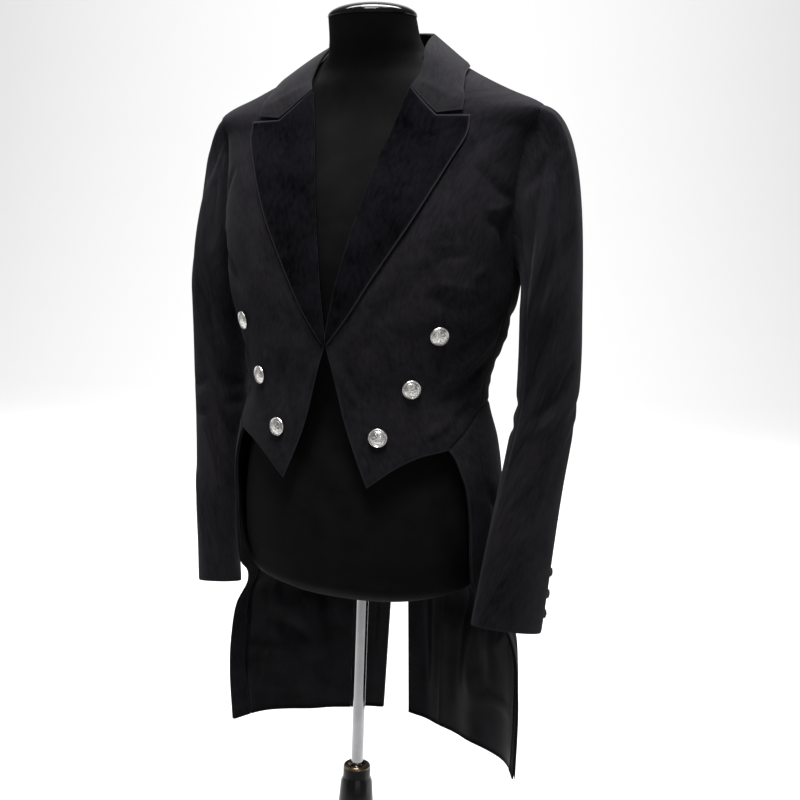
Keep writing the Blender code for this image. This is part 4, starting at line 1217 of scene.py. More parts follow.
@dataclass
class Button:
    """A domed shank button with a corded rim and a plain eight-petalled flower in low relief."""

    name: str
    node: str
    radius: float
    place: np.ndarray
    outward: np.ndarray
    material: bpy.types.Material
    petals: int = 8
    beads: int = 28

    def outline(self) -> list[tuple[float, float]]:
        """The button's outline, from its shank's foot to the middle of its dome."""
        r = self.radius
        lift, dome = r * 0.14, r * 0.34
        line = [(0.0, 0.0), (r * 0.30, 0.0), (r * 0.30, lift), (r * 0.90, lift), (r * 0.97, lift + r * 0.03),
                (r, lift + r * 0.09), (r * 0.97, lift + r * 0.17), (r * 0.92, lift + r * 0.205),
                (r * 0.87, lift + r * 0.19), (r * 0.83, lift + r * 0.15)]
        for step in range(1, 17):
            share = 0.80 * (1 - step / 16)
            line.append((r * share, lift + r * 0.15 + (dome * 1.12 - r * 0.15) * (1 - (share / 0.80) ** 2)))
        return line

    def relief(self, radius: float, angle: float) -> float:
        """How far the design stands up at a place on the button."""
        share, high = radius / self.radius, self.radius * 0.030
        if share > 0.86:
            bead = max(0.0, math.cos(self.beads * angle))
            return high * 0.8 * bead * math.exp(-(((share - 0.92) / 0.05) ** 2))
        ring = math.exp(-(((share - 0.66) / 0.035) ** 2))
        petal = math.exp(-(((share - 0.38) / 0.15) ** 2)) * max(0.0, math.cos(self.petals * angle)) ** 0.7
        boss = math.exp(-((share / 0.11) ** 2))
        return high * (0.9 * ring + 1.5 * petal + 1.6 * boss)

    def build(self) -> bpy.types.Object:
        """Make the button and set it on its cloth.

        Returns:
            The new object.
        """
        turn = Vector((0, 0, 1)).rotation_difference(Vector(self.outward)).to_matrix().to_4x4()
        seat = Matrix.Translation(Vector(self.place)) @ turn
        return Turning(self.name, self.node, self.outline(), self.material, "pewter", "form", 56, seat=seat,
                       relief=self.relief).build()


@dataclass
class DressForm:
    """The form's torso and neck, and the glossy cap on the neck."""

    cover: bpy.types.Material
    gloss: bpy.types.Material
    sides: int = 96
    levels: int = 110
    rings: Sequence[Ring] = (
        Ring(0.790, 0.118, 0.088, 0.092, 0.000, 2.2, 2.2), Ring(0.800, 0.146, 0.104, 0.110, 0.000, 2.2, 2.2),
        Ring(0.830, 0.163, 0.114, 0.121, 0.000, 2.2, 2.2), Ring(0.890, 0.171, 0.119, 0.122, 0.000, 2.2, 2.2),
        Ring(0.960, 0.168, 0.117, 0.113, 0.000, 2.2, 2.2), Ring(1.060, 0.150, 0.109, 0.095, 0.000, 2.2, 2.2),
        Ring(1.130, 0.162, 0.118, 0.101, 0.000, 2.2, 2.2), Ring(1.200, 0.182, 0.124, 0.115, 0.000, 2.3, 2.3),
        Ring(1.270, 0.190, 0.114, 0.124, 0.000, 2.5, 2.3), Ring(1.335, 0.195, 0.096, 0.126, 0.000, 2.6, 2.3),
        Ring(1.385, 0.201, 0.076, 0.121, 0.000, 2.6, 2.3), Ring(1.425, 0.203, 0.060, 0.112, 0.000, 2.3, 2.2),
        Ring(1.446, 0.180, 0.057, 0.104, 0.000, 1.9, 2.1), Ring(1.463, 0.140, 0.058, 0.093, 0.000, 1.6, 2.0),
        Ring(1.481, 0.097, 0.057, 0.080, -0.002, 1.5, 2.0), Ring(1.496, 0.070, 0.055, 0.070, -0.008, 1.8, 2.0),
        Ring(1.512, 0.061, 0.056, 0.063, -0.016, 2.0, 2.0),
        Ring(1.543, 0.0565, 0.0565, 0.0565, -0.028, 2.0, 2.0),
    )
    cap_height: float = 0.0190

    def build_torso(self) -> bpy.types.Object:
        """Make the torso, closed at both ends."""
        shape = BodyShape(self.rings)
        shell = bmesh.new()
        bmesh.ops.create_grid(shell, x_segments=self.sides, y_segments=self.levels, size=1.0)
        rows, columns = np.divmod(np.arange(len(shell.verts)), self.sides + 1)
        heights = self.rings[0].height + (self.rings[-1].height - self.rings[0].height) * rows / self.levels
        points = tilted(shape.base(np.stack([360.0 * columns / self.sides, heights], axis=-1)))
        for vertex, point in zip(shell.verts, points.tolist()):
            vertex.co = point
        bmesh.ops.remove_doubles(shell, verts=shell.verts, dist=1e-6)
        bmesh.ops.holes_fill(shell, edges=shell.edges, sides=0)
        bmesh.ops.recalc_face_normals(shell, faces=shell.faces)
        torso = finish_mesh("form_body", shell, self.cover, "form", "cover", 35.0)
        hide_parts("form_torso")
        return torso

    def build_cap(self) -> bpy.types.Object:
        """Make the glossy cap with its rounded rim."""
        neck = self.rings[-1]
        rim = neck.half_width + 0.001
        dome = [(0.0, 0.0), (rim - 0.002, 0.0), (rim - 0.0006, 0.0004), (rim, 0.0014), (rim - 0.0002, 0.0026)]
        for step in range(1, 15):
            bend = math.radians(90 * step / 15)
            dome.append((rim * math.cos(bend), 0.002 + (self.cap_height - 0.002) * math.sin(bend)))
        dome.append((0.0, self.cap_height))
        return Turning("neck_cap_gloss", "neck_cap", dome, self.gloss, "gloss", "form", 96,
                       centre=(0, neck.middle, neck.height + SEAM), tilt=True).build()


@dataclass
class Stand:
    """The chrome pole, the clamp that holds it, the column and the round base."""

    chrome: bpy.types.Material
    plastic: bpy.types.Material
    iron: bpy.types.Material
    bronze: bpy.types.Material
    pole_radius: float = 0.0085
    pole_foot: float = 0.290
    pole_top: float = 0.7897
    clamp_foot: float = 0.440
    clamp_top: float = 0.520
    column_radius: float = 0.0170
    base_radius: float = 0.1900
    base_thickness: float = 0.0160
    hub_radius: float = 0.0400
    hub_height: float = 0.0400
    rim_depth: float = 0.0036
    clamp_skin: Sequence[tuple[float, float]] = (
        (0.0245, 0.0520), (0.0241, 0.0500), (0.0222, 0.0245), (0.0203, 0.0200), (0.0199, 0.0188),
        (0.0193, 0.0170), (0.0193, 0.0035), (0.0186, 0.0012), (0.0173, 0.0), (0.0125, 0.0),
        (0.0112, 0.0012),
    )

    def build(self) -> list[bpy.types.Object]:
        """Make the stand's pieces.

        Returns:
            The new objects, from the pole down.
        """
        foot, top, radius = self.pole_foot, self.pole_top, self.pole_radius
        pole = [(0.0, foot), (radius - 0.001, foot), (radius, foot + 0.001), (radius, top), (0.0, top)]
        bore, low, high = radius + 0.0004, self.clamp_foot, self.clamp_top
        skin = [(size, high - down) for size, down in self.clamp_skin]
        foot_size = self.clamp_skin[0][0]
        clamp = [(bore, low), (foot_size - 0.001, low), (foot_size, low + 0.001), *skin, (bore, high - 0.0020)]
        column = [(0.0120, 0.030), (self.column_radius, 0.030), (self.column_radius, low - SEAM),
                  (0.0120, low - SEAM)]
        hub, rim = self.hub_radius, self.base_thickness
        inner, floor = self.column_radius + SEAM, 0.030 - SEAM
        base = [(0.0, 0.0), (self.base_radius - 0.001, 0.0), (self.base_radius, 0.001),
                (self.base_radius, rim - 0.004), (self.base_radius - 0.0012, rim - 0.0012),
                (self.base_radius - 0.004, rim), (hub + 0.010, rim + 0.004), (hub + 0.003, rim + 0.006),
                (hub, rim + 0.010), (hub - 0.003, self.hub_height - 0.004), (hub - 0.006, self.hub_height),
                (inner, self.hub_height), (inner, floor), (0.0, floor)]
        sleeve = Turning("clamp_sleeve", "pole_clamp", clamp, self.plastic, "plastic", "stand", 64).build()
        sleeve.data.materials.append(self.bronze)
        for face in sleeve.data.polygons:
            face.material_index = int(face.center.z > high - self.rim_depth)
        return [
            Turning("pole_tube", "pole", pole, self.chrome, "chrome", "form", 64).build(),
            sleeve,
            Turning("column_tube", "stand_column", column, self.plastic, "plastic", "stand", 64).build(),
            Turning("base_disc", "stand_base", base, self.iron, "iron", "stand", 128).build(),
        ]


class Wiring:
    """Adds and joins the nodes of one tree."""

    def __init__(self, tree: bpy.types.NodeTree) -> None:
        """Keep the tree."""
        self.tree = tree

    def add(self, kind: str, values: dict | None = None, **settings: object) -> bpy.types.Node:
        """Add a node.

        Args:
            kind: the node's type.
            values: numbers and colours for its input sockets, by name or number.
            settings: its own settings.

        Returns:
            The new node.
        """
        node = self.tree.nodes.new(kind)
        for name, value in settings.items():
            setattr(node, name, value)
        for socket, value in (values or {}).items():
            node.inputs[socket].default_value = value
        return node

    def join(self, source: bpy.types.NodeSocket, target: bpy.types.NodeSocket) -> None:
        """Join two sockets."""
        self.tree.links.new(source, target)

    def math(self, operation: str, first: object, second: object = None) -> bpy.types.NodeSocket:
        """A sum of two sockets or numbers.

        Args:
            operation: the Math node's operation.
            first: a socket or a number.
            second: a socket or a number, where the operation has two.

        Returns:
            The result's socket.
        """
        node = self.add("ShaderNodeMath", operation=operation)
        for index, value in enumerate((first, second)):
            if isinstance(value, bpy.types.NodeSocket):
                self.join(value, node.inputs[index])
            elif value is not None:
                node.inputs[index].default_value = value
        return node.outputs[0]

    def swing(self, value: bpy.types.NodeSocket, size: object) -> bpy.types.NodeSocket:
        """How far a value from 0 to 1 is from one half, times a size."""
        return self.math("MULTIPLY", self.math("SUBTRACT", value, 0.5), size)

    def noise(self, vector: bpy.types.NodeSocket, scale: object, detail: float) -> bpy.types.NodeSocket:
        """A noise value from 0 to 1.

        Args:
            vector: the coordinates' socket.
            scale: a number or a socket.
            detail: how many finer layers it has.

        Returns:
            The value's socket.
        """
        node = self.add("ShaderNodeTexNoise", {"Detail": detail, "Roughness": 0.6})
        self.join(vector, node.inputs["Vector"])
        if isinstance(scale, bpy.types.NodeSocket):
            self.join(scale, node.inputs["Scale"])
        else:
            node.inputs["Scale"].default_value = scale
        return node.outputs["Fac"]

    def stretched(self, vector: bpy.types.NodeSocket, scale: tuple, turn: float) -> bpy.types.NodeSocket:
        """Coordinates turned and scaled along each axis."""
        node = self.add("ShaderNodeMapping", {"Scale": scale, "Rotation": (0.0, 0.0, turn)})
        self.join(vector, node.inputs["Vector"])
        return node.outputs["Vector"]

    def mix(self, share: bpy.types.NodeSocket, low: object, high: object) -> bpy.types.NodeSocket:
        """A colour between two colours or colour sockets.

        Args:
            share: 0 for the first and 1 for the second.
            low: the first colour or its socket.
            high: the second colour or its socket.

        Returns:
            The colour's socket.
        """
        node = self.add("ShaderNodeMix", data_type="RGBA")
        self.join(share, node.inputs["Factor"])
        for name, value in (("A", low), ("B", high)):
            socket = next(item for item in node.inputs if item.name == name and item.type == "RGBA")
            if isinstance(value, bpy.types.NodeSocket):
                self.join(value, socket)
            else:
                socket.default_value = value
        return next(item for item in node.outputs if item.type == "RGBA")


def new_group(name: str, colours: Sequence[str],
              numbers: Sequence[str]) -> tuple[Wiring, dict[str, bpy.types.NodeSocket], bpy.types.Node]:
    """Start a node group that puts out a colour, a roughness and a height.

    Args:
        name: the group's name.
        colours: its colour inputs.
        numbers: its number inputs.

    Returns:
        Its wiring, its inputs by name, and its output node.
    """
    tree = bpy.data.node_groups.new(name, "ShaderNodeTree")
    tree.interface.new_socket("Vector", in_out="INPUT", socket_type="NodeSocketVector")
    for colour in colours:
        tree.interface.new_socket(colour, in_out="INPUT", socket_type="NodeSocketColor")
    for number in numbers:
        tree.interface.new_socket(number, in_out="INPUT", socket_type="NodeSocketFloat")
    tree.interface.new_socket("Colour", in_out="OUTPUT", socket_type="NodeSocketColor")
    tree.interface.new_socket("Roughness", in_out="OUTPUT", socket_type="NodeSocketFloat")
    tree.interface.new_socket("Height", in_out="OUTPUT", socket_type="NodeSocketFloat")
    wiring = Wiring(tree)
    entry, leave = wiring.add("NodeGroupInput"), wiring.add("NodeGroupOutput")
    return wiring, {socket.name: socket for socket in entry.outputs}, leave


def weave_group() -> bpy.types.NodeTree:
    """Brushed twill: fine diagonal ribs, a raised nap, and soft clouds of shade, which on the satin lining are
    strong enough to be painted mottled highlights.
    """
    wiring, given, leave = new_group("brushed_weave", ("Dark", "Light"),
                                     ("Ribs", "Nap", "Clouds", "Base Roughness"))
    vector = given["Vector"]
    parts = wiring.add("ShaderNodeSeparateXYZ")
    wiring.join(vector, parts.inputs[0])
    slant = wiring.math("ADD", wiring.math("MULTIPLY", parts.outputs[0], 0.6), parts.outputs[1])
    rib = wiring.math("SINE", wiring.math("MULTIPLY", slant, given["Ribs"]))
    rib = wiring.math("MULTIPLY_ADD", rib, 0.5)
    rib.node.inputs[2].default_value = 0.5
    fibre = wiring.noise(vector, 1500.0, 2.0)
    nap = wiring.noise(wiring.stretched(vector, (210.0, 90.0, 1.0), 0.35), 1.0, 4.0)
    cloud = wiring.noise(vector, 19.0, 3.0)
    shade = wiring.swing(rib, 0.22)
    for pattern, size in ((fibre, 0.55), (nap, given["Nap"]), (cloud, given["Clouds"])):
        shade = wiring.math("ADD", shade, wiring.swing(pattern, size))
    shade = wiring.math("ADD", shade, 0.5)
    shade.node.use_clamp = True
    wiring.join(wiring.mix(shade, given["Dark"], given["Light"]), leave.inputs["Colour"])
    rough = wiring.math("ADD", given["Base Roughness"], wiring.swing(nap, 0.2))
    wiring.join(rough, leave.inputs["Roughness"])
    height = wiring.math("ADD", wiring.math("MULTIPLY", rib, 0.35), wiring.math("MULTIPLY", fibre, 0.35))
    wiring.join(wiring.math("ADD", height, wiring.math("MULTIPLY", nap, 0.9)), leave.inputs["Height"])
    return wiring.tree


def patina_group() -> bpy.types.NodeTree:
    """Old metal or a moulded skin: soft patches of a second colour and fine scratches or grain."""
    wiring, given, leave = new_group("patina", ("Bright", "Dull"),
                                     ("Patches", "Grain", "Base Roughness", "Spread"))
    vector = given["Vector"]
    patch = wiring.noise(vector, given["Patches"], 4.0)
    grain = wiring.noise(vector, given["Grain"], 3.0)
    share = wiring.math("ADD", wiring.swing(patch, 2.6), 0.42)
    share = wiring.math("ADD", share, wiring.swing(grain, 0.8))
    share.node.use_clamp = True
    wiring.join(wiring.mix(share, given["Bright"], given["Dull"]), leave.inputs["Colour"])
    rough = wiring.math("ADD", given["Base Roughness"], wiring.math("MULTIPLY", share, given["Spread"]))
    wiring.join(rough, leave.inputs["Roughness"])
    wiring.join(wiring.math("ADD", grain, wiring.math("MULTIPLY", patch, 0.4)), leave.inputs["Height"])
    return wiring.tree


class Groups:
    """The node groups that the finishes share, made once."""

    made: dict[str, bpy.types.NodeTree] = {}
    makers: dict[str, Callable[[], bpy.types.NodeTree]] = {
        "brushed_weave": weave_group, "patina": patina_group,
    }

    @classmethod
    def get(cls, name: str) -> bpy.types.NodeTree:
        """The group of a name."""
        if name not in cls.made:
            cls.made[name] = cls.makers[name]()
        return cls.made[name]


def start_material(name: str) -> tuple[bpy.types.Material, Wiring, bpy.types.Node]:
    """A new material with its wiring and its Principled shader."""
    material = bpy.data.materials.new(name)
    material.use_nodes = True
    return material, Wiring(material.node_tree), material.node_tree.nodes["Principled BSDF"]


@dataclass(frozen=True)
class ClothFinish:
    """A woven or napped cloth, whose pattern follows the piece's own map, with a painted highlight along its
    free edges.
    """

    name: str
    dark: Colour
    light: Colour
    # The colour painted along free edges as a highlight.
    edge: Colour
    ribs: float = 9000.0
    nap: float = 1.0
    clouds: float = 1.0
    roughness: float = 0.85
    sheen: float = 0.028
    sheen_roughness: float = 0.40
    specular: float = 0.020
    bump: float = 0.55
    sheen_tint: Colour = (0.90, 0.88, 0.95)
    anisotropic: float = 0.0

    def build(self) -> bpy.types.Material:
        """Make the material."""
        material, wiring, shader = start_material(self.name)
        weave = wiring.add("ShaderNodeUVMap", uv_map="weave")
        group = wiring.add("ShaderNodeGroup", node_tree=Groups.get("brushed_weave"))
        group.inputs["Dark"].default_value = (*self.dark, 1)
        group.inputs["Light"].default_value = (*self.light, 1)
        group.inputs["Ribs"].default_value = self.ribs
        group.inputs["Nap"].default_value = self.nap
        group.inputs["Clouds"].default_value = self.clouds
        group.inputs["Base Roughness"].default_value = self.roughness
        wiring.join(weave.outputs["UV"], group.inputs["Vector"])
        # Painted highlight: the weave's colour is mixed towards the edge colour by the nearness to a free edge.
        edge = wiring.add("ShaderNodeAttribute", attribute_name="edge")
        colour = wiring.mix(edge.outputs["Fac"], group.outputs["Colour"], (*self.edge, 1))
        wiring.join(colour, shader.inputs["Base Color"])
        wiring.join(group.outputs["Roughness"], shader.inputs["Roughness"])
        bump = wiring.add("ShaderNodeBump", {"Strength": self.bump, "Distance": 0.0004})
        wiring.join(group.outputs["Height"], bump.inputs["Height"])
        wiring.join(bump.outputs["Normal"], shader.inputs["Normal"])
        shader.inputs["Sheen Weight"].default_value = self.sheen
        shader.inputs["Sheen Roughness"].default_value = self.sheen_roughness
        shader.inputs["Sheen Tint"].default_value = (*self.sheen_tint, 1)
        shader.inputs["Specular IOR Level"].default_value = self.specular
        shader.inputs["Anisotropic"].default_value = self.anisotropic
        return material


@dataclass(frozen=True)
class HardFinish:
    """A metal, a moulded skin or a painted surface, patterned in the piece's own space."""

    name: str
    bright: Colour
    dull: Colour
    patches: float
    grain: float
    roughness: float
    spread: float
    bump: float
    metallic: float = 0.0
    coat: float = 0.0
    specular: float = 0.5

    def build(self) -> bpy.types.Material:
        """Make the material."""
        material, wiring, shader = start_material(self.name)
        place = wiring.add("ShaderNodeTexCoord")
        group = wiring.add("ShaderNodeGroup", node_tree=Groups.get("patina"))
        group.inputs["Bright"].default_value = (*self.bright, 1)
        group.inputs["Dull"].default_value = (*self.dull, 1)
        group.inputs["Patches"].default_value = self.patches
        group.inputs["Grain"].default_value = self.grain
        group.inputs["Base Roughness"].default_value = self.roughness
        group.inputs["Spread"].default_value = self.spread
        wiring.join(place.outputs["Object"], group.inputs["Vector"])
        wiring.join(group.outputs["Colour"], shader.inputs["Base Color"])
        wiring.join(group.outputs["Roughness"], shader.inputs["Roughness"])
        bump = wiring.add("ShaderNodeBump", {"Strength": self.bump, "Distance": 0.0002})
        wiring.join(group.outputs["Height"], bump.inputs["Height"])
        wiring.join(bump.outputs["Normal"], shader.inputs["Normal"])
        shader.inputs["Metallic"].default_value = self.metallic
        shader.inputs["Coat Weight"].default_value = self.coat
        shader.inputs["Specular IOR Level"].default_value = self.specular
        return material


# The third colour of each cloth is painted along its free edges as a highlight: the twill's is its light
# colour, the collar's a little lighter, and the velvet's a bright line about five times its light colour.
TWILL = ClothFinish("black_twill", (0.0012, 0.0012, 0.0018), (0.0176, 0.0163, 0.0190),
                    (0.0176, 0.0163, 0.0190))
# The collar is cut from the body's twill; this lighter copy of the twill's colours is painted light on the
# collar.
COLLAR_TWILL_PAINTED_LIGHTER = ClothFinish("collar_twill", (0.0034, 0.0034, 0.0040), (0.0172, 0.0161, 0.0182),
                           (0.0180, 0.0169, 0.0190), nap=1.1, clouds=0.9, sheen=0.040)
# Painted highlight: the velvet's edge colour makes a bright line along the lapels' free edges.
VELVET_PILE = ClothFinish("black_velvet", (0.0006, 0.0006, 0.0010), (0.0058, 0.0055, 0.0070),
                          (0.0280, 0.0270, 0.0310), ribs=0.0, nap=1.5, clouds=1.8, roughness=0.95,
                          sheen=0.070, sheen_roughness=0.30, specular=0.012, bump=0.30,
                          sheen_tint=(0.85, 0.85, 0.95))
# The satin's strong clouds, between near-black and a bluish light tone, are painted mottled highlights of its
# sheen.
SATIN_LINING = ClothFinish("black_satin", (0.0004, 0.0004, 0.0008), (0.0070, 0.0067, 0.0094),
                           (0.0070, 0.0067, 0.0094), ribs=0.0, nap=0.8, clouds=2.4, roughness=0.38,
                           sheen=0.010, sheen_roughness=0.30, specular=0.07, bump=0.10,
                           sheen_tint=(1.0, 1.0, 1.0), anisotropic=0.4)
PEWTER = HardFinish("old_silver", (0.95, 0.94, 0.91), (0.30, 0.29, 0.27), patches=420.0, grain=2600.0,
                    roughness=0.22, spread=0.24, bump=0.25, metallic=1.0)
CHROME = HardFinish("chrome", (0.42, 0.42, 0.43), (0.34, 0.34, 0.35), patches=30.0, grain=900.0,
                    roughness=0.07, spread=0.06, bump=0.03, metallic=1.0)
BRONZE = HardFinish("rim_bronze", (0.30, 0.23, 0.16), (0.12, 0.09, 0.065), patches=300.0, grain=2200.0,
                    roughness=0.24, spread=0.16, bump=0.10, metallic=1.0)
PLASTIC = HardFinish("black_plastic", (0.0040, 0.0040, 0.0044), (0.0080, 0.0080, 0.0084), patches=40.0,
                     grain=2400.0, roughness=0.16, spread=0.08, bump=0.06, specular=0.30)
IRON = HardFinish("painted_iron", (0.008, 0.008, 0.009), (0.014, 0.014, 0.015), patches=30.0, grain=1400.0,
                  roughness=0.42, spread=0.14, bump=0.30, specular=0.15)
COVER = HardFinish("form_cover", (0.0020, 0.0021, 0.0020), (0.0044, 0.0046, 0.0044), patches=26.0,
                   grain=1500.0, roughness=0.66, spread=0.14, bump=0.35, specular=0.04)
GLOSS = HardFinish("cap_gloss", (0.0030, 0.0030, 0.0034), (0.0050, 0.0050, 0.0055), patches=20.0,
                   grain=400.0, roughness=0.07, spread=0.05, bump=0.02, specular=0.10)

# The creases of each cut, read from its outer face: on the body as angles and heights, on the sleeves as turns
# round the sleeve and rows down it.
CHEST_CREASES = {
    Side.LEFT: (
        Crease(((66.0, 1.352), (73.4, 1.326), (80.6, 1.314)), 0.0055, -0.0042),
        Crease(((67.0, 1.332), (69.0, 1.304), (77.0, 1.305)), 0.0046, 0.0029),
        Crease(((68.0, 1.292), (75.0, 1.282), (80.0, 1.262)), 0.0078, -0.0042),
        Crease(((80.5, 1.305), (78.0, 1.255), (80.0, 1.195)), 0.0150, -0.0060),
        Crease(((63.0, 1.241), (66.0, 1.226), (69.0, 1.236)), 0.0037, 0.0021),
        Crease(((51.0, 1.259), (62.5, 1.262)), 0.0039, 0.0019),
        Crease(((50.0, 1.243), (62.5, 1.249)), 0.0037, -0.0019),
        Crease(((49.0, 1.215), (66.0, 1.208)), 0.0046, 0.0022),
        Crease(((47.0, 1.199), (64.0, 1.180)), 0.0101, -0.0038),
        Crease(((84.0, 1.176), (66.0, 1.136), (56.0, 1.110)), 0.0087, -0.0042),
        Crease(((84.0, 1.148), (68.0, 1.108), (59.0, 1.080)), 0.0069, 0.0032),
        Crease(((84.0, 1.118), (70.0, 1.082), (58.0, 1.058)), 0.0078, -0.0042),
        Crease(((84.0, 1.082), (72.0, 1.062), (64.0, 1.050)), 0.0060, 0.0026),
        Crease(((50.5, 1.017), (58.0, 1.030), (67.0, 1.043)), 0.0055, 0.0032),
        Crease(((4.0, 1.114), (11.8, 1.084), (18.5, 1.060)), 0.0046, 0.0029),
        Crease(((9.0, 1.116), (17.0, 1.082), (24.0, 1.058)), 0.0055, -0.0029),
        Crease(((28.0, 1.160), (38.0, 1.110), (44.0, 1.075)), 0.0092, 0.0022),
    ),
    Side.RIGHT: (
        Crease(((68.0, 1.356), (73.0, 1.320), (77.0, 1.285)), 0.0064, -0.0045),
        Crease(((79.0, 1.300), (75.0, 1.250), (72.0, 1.190)), 0.0150, -0.0062),
        Crease(((71.0, 1.284), (72.5, 1.262)), 0.0035, 0.0026),
        Crease(((69.0, 1.240), (52.0, 1.196)), 0.0078, -0.0035),
        Crease(((84.0, 1.150), (68.0, 1.115), (54.0, 1.092)), 0.0078, -0.0038),
        Crease(((84.0, 1.118), (68.0, 1.090), (56.0, 1.072)), 0.0060, 0.0029),
        Crease(((84.0, 1.090), (70.0, 1.062), (58.0, 1.048)), 0.0069, -0.0035),
        Crease(((37.0, 1.118), (38.0, 1.098)), 0.0041, 0.0022),
        Crease(((47.0, 1.068), (41.0, 1.050)), 0.0041, 0.0022),
        Crease(((3.0, 1.118), (8.0, 1.085), (14.0, 1.030)), 0.0051, 0.0026),
        Crease(((20.0, 1.125), (27.0, 1.085), (33.0, 1.030)), 0.0092, -0.0026),
    ),
}
BACK_CREASES = {
    Side.LEFT: (
        Crease(((127.0, 1.345), (134.0, 1.325), (141.0, 1.290)), 0.0085, -0.0049),
        Crease(((126.0, 1.300), (136.0, 1.285), (147.0, 1.255)), 0.0075, -0.0042),
        Crease(((128.0, 1.318), (139.0, 1.303)), 0.0050, 0.0027),
        Crease(((166.0, 1.094), (154.0, 1.082), (143.0, 1.078)), 0.0080, -0.0038),
        Crease(((164.0, 1.070), (146.0, 1.062)), 0.0060, 0.0022),
        Crease(((170.0, 0.900), (167.0, 0.760), (160.0, 0.600)), 0.0140, 0.0053),
        Crease(((156.0, 0.860), (157.0, 0.580)), 0.0100, -0.0038),
    ),
    Side.RIGHT: (
        Crease(((128.0, 1.335), (136.0, 1.310), (144.0, 1.272)), 0.0080, -0.0049),
        Crease(((127.0, 1.285), (140.0, 1.262)), 0.0065, -0.0034),
        Crease(((170.0, 1.102), (158.0, 1.090), (146.0, 1.084)), 0.0075, -0.0038),
        Crease(((168.0, 0.880), (163.0, 0.740), (162.0, 0.610)), 0.0120, 0.0049),
        Crease(((157.0, 0.830), (155.0, 0.600)), 0.0100, -0.0034),
    ),
}
TAIL_CREASES = {
    Side.LEFT: (
        Crease(((118.0, 0.900), (124.0, 0.770), (121.0, 0.640)), 0.0100, -0.0053),
        Crease(((138.0, 0.880), (141.0, 0.590)), 0.0110, 0.0045),
        Crease(((104.0, 0.780), (105.5, 0.690), (103.0, 0.600)), 0.0080, 0.0038),
        Crease(((111.0, 0.745), (117.0, 0.700), (125.0, 0.655)), 0.0060, -0.0038),
        Crease(((116.0, 0.700), (130.0, 0.640)), 0.0045, 0.0027),
        Crease(((78.0, 0.955), (92.0, 0.915), (110.0, 0.900)), 0.0080, -0.0031),
        Crease(((106.0, 0.600), (118.0, 0.615), (132.0, 0.596)), 0.0060, -0.0024),
        Crease(((129.0, 0.720), (134.0, 0.660), (131.0, 0.610)), 0.0070, -0.0026),
    ),
    Side.RIGHT: (
        Crease(((120.0, 0.880), (114.0, 0.760), (118.0, 0.620)), 0.0110, -0.0049),
        Crease(((136.0, 0.850), (140.0, 0.600)), 0.0100, 0.0042),
        Crease(((104.0, 0.770), (106.0, 0.680), (103.5, 0.590)), 0.0070, 0.0042),
        Crease(((109.0, 0.750), (111.5, 0.660), (109.0, 0.570)), 0.0055, -0.0034),
        Crease(((126.0, 0.730), (131.0, 0.690), (129.0, 0.600)), 0.0080, -0.0032),
        Crease(((101.0, 0.642), (112.0, 0.634), (123.0, 0.624)), 0.0040, -0.0031),
        Crease(((112.0, 0.690), (121.0, 0.668), (128.0, 0.650)), 0.0110, 0.0042),
        Crease(((80.0, 0.940), (96.0, 0.905), (114.0, 0.890)), 0.0080, -0.0031),
    ),
}
SIDE_CREASES = {
    Side.LEFT: (
        Crease(((88.0, 1.182), (100.0, 1.168), (112.0, 1.150)), 0.0080, -0.0033),
        Crease(((88.0, 1.150), (104.0, 1.138)), 0.0060, 0.0021),
        Crease(((90.0, 1.116), (110.0, 1.100), (132.0, 1.096)), 0.0075, -0.0036),
        Crease(((92.0, 1.084), (116.0, 1.076)), 0.0060, 0.0021),
    ),
    Side.RIGHT: (
        Crease(((88.0, 1.160), (102.0, 1.150), (118.0, 1.136)), 0.0080, -0.0033),
        Crease(((90.0, 1.128), (108.0, 1.120)), 0.0060, 0.0021),
        Crease(((92.0, 1.098), (110.0, 1.088), (130.0, 1.086)), 0.0075, -0.0036),
    ),
}
TOP_SLEEVE_CREASES = {
    Side.LEFT: (
        Crease(((16.0, 2.3), (51.0, 3.3), (69.0, 4.1), (88.0, 4.9), (100.0, 6.2), (107.0, 7.1)),
               0.0100, 0.0072, 30),
        Crease(((38.0, 2.4), (62.0, 2.3), (84.0, 1.5)), 0.0080, -0.0050),
        Crease(((46.0, 2.6), (80.0, 3.1), (102.0, 3.8), (108.0, 5.6)), 0.0095, -0.0080),
        Crease(((52.0, 4.5), (66.0, 5.0), (80.0, 5.8)), 0.0080, -0.0050),
        Crease(((6.0, 7.5), (27.0, 8.2), (36.0, 8.7), (58.0, 9.2), (84.0, 9.6)), 0.0076, -0.0039),
        Crease(((20.0, 8.8), (50.0, 9.7), (90.0, 10.1)), 0.0066, 0.0024),
        Crease(((104.0, 7.0), (103.5, 8.9), (99.5, 10.2), (101.5, 11.3)), 0.0057, 0.0027),
        Crease(((-52.0, 8.8), (-20.0, 9.4), (10.0, 9.6)), 0.0095, -0.0033),
        Crease(((-44.0, 9.9), (0.0, 10.5)), 0.0076, -0.0027),
        Crease(((20.0, 10.6), (30.0, 14.5)), 0.0114, 0.0027),
    ),
    Side.RIGHT: (
        Crease(((20.0, 2.6), (52.0, 3.6), (74.0, 4.6), (92.0, 6.0)), 0.0104, 0.0054),
        Crease(((60.0, 2.4), (86.0, 3.2), (104.0, 4.0)), 0.0085, -0.0060),
        Crease(((56.0, 1.1), (70.0, 1.5)), 0.0038, 0.0027),
        Crease(((98.0, 9.2), (70.0, 9.5), (44.0, 9.4)), 0.0081, -0.0039),
        Crease(((100.0, 10.3), (72.0, 10.6), (46.0, 10.5)), 0.0071, -0.0033),
        Crease(((38.0, 12.6), (58.0, 14.0), (64.0, 15.2)), 0.0062, 0.0033),
        Crease(((-56.0, 9.0), (-26.0, 9.6), (2.0, 9.8)), 0.0095, -0.0033),
        Crease(((-46.0, 10.2), (-4.0, 10.6)), 0.0076, -0.0024),
    ),
}
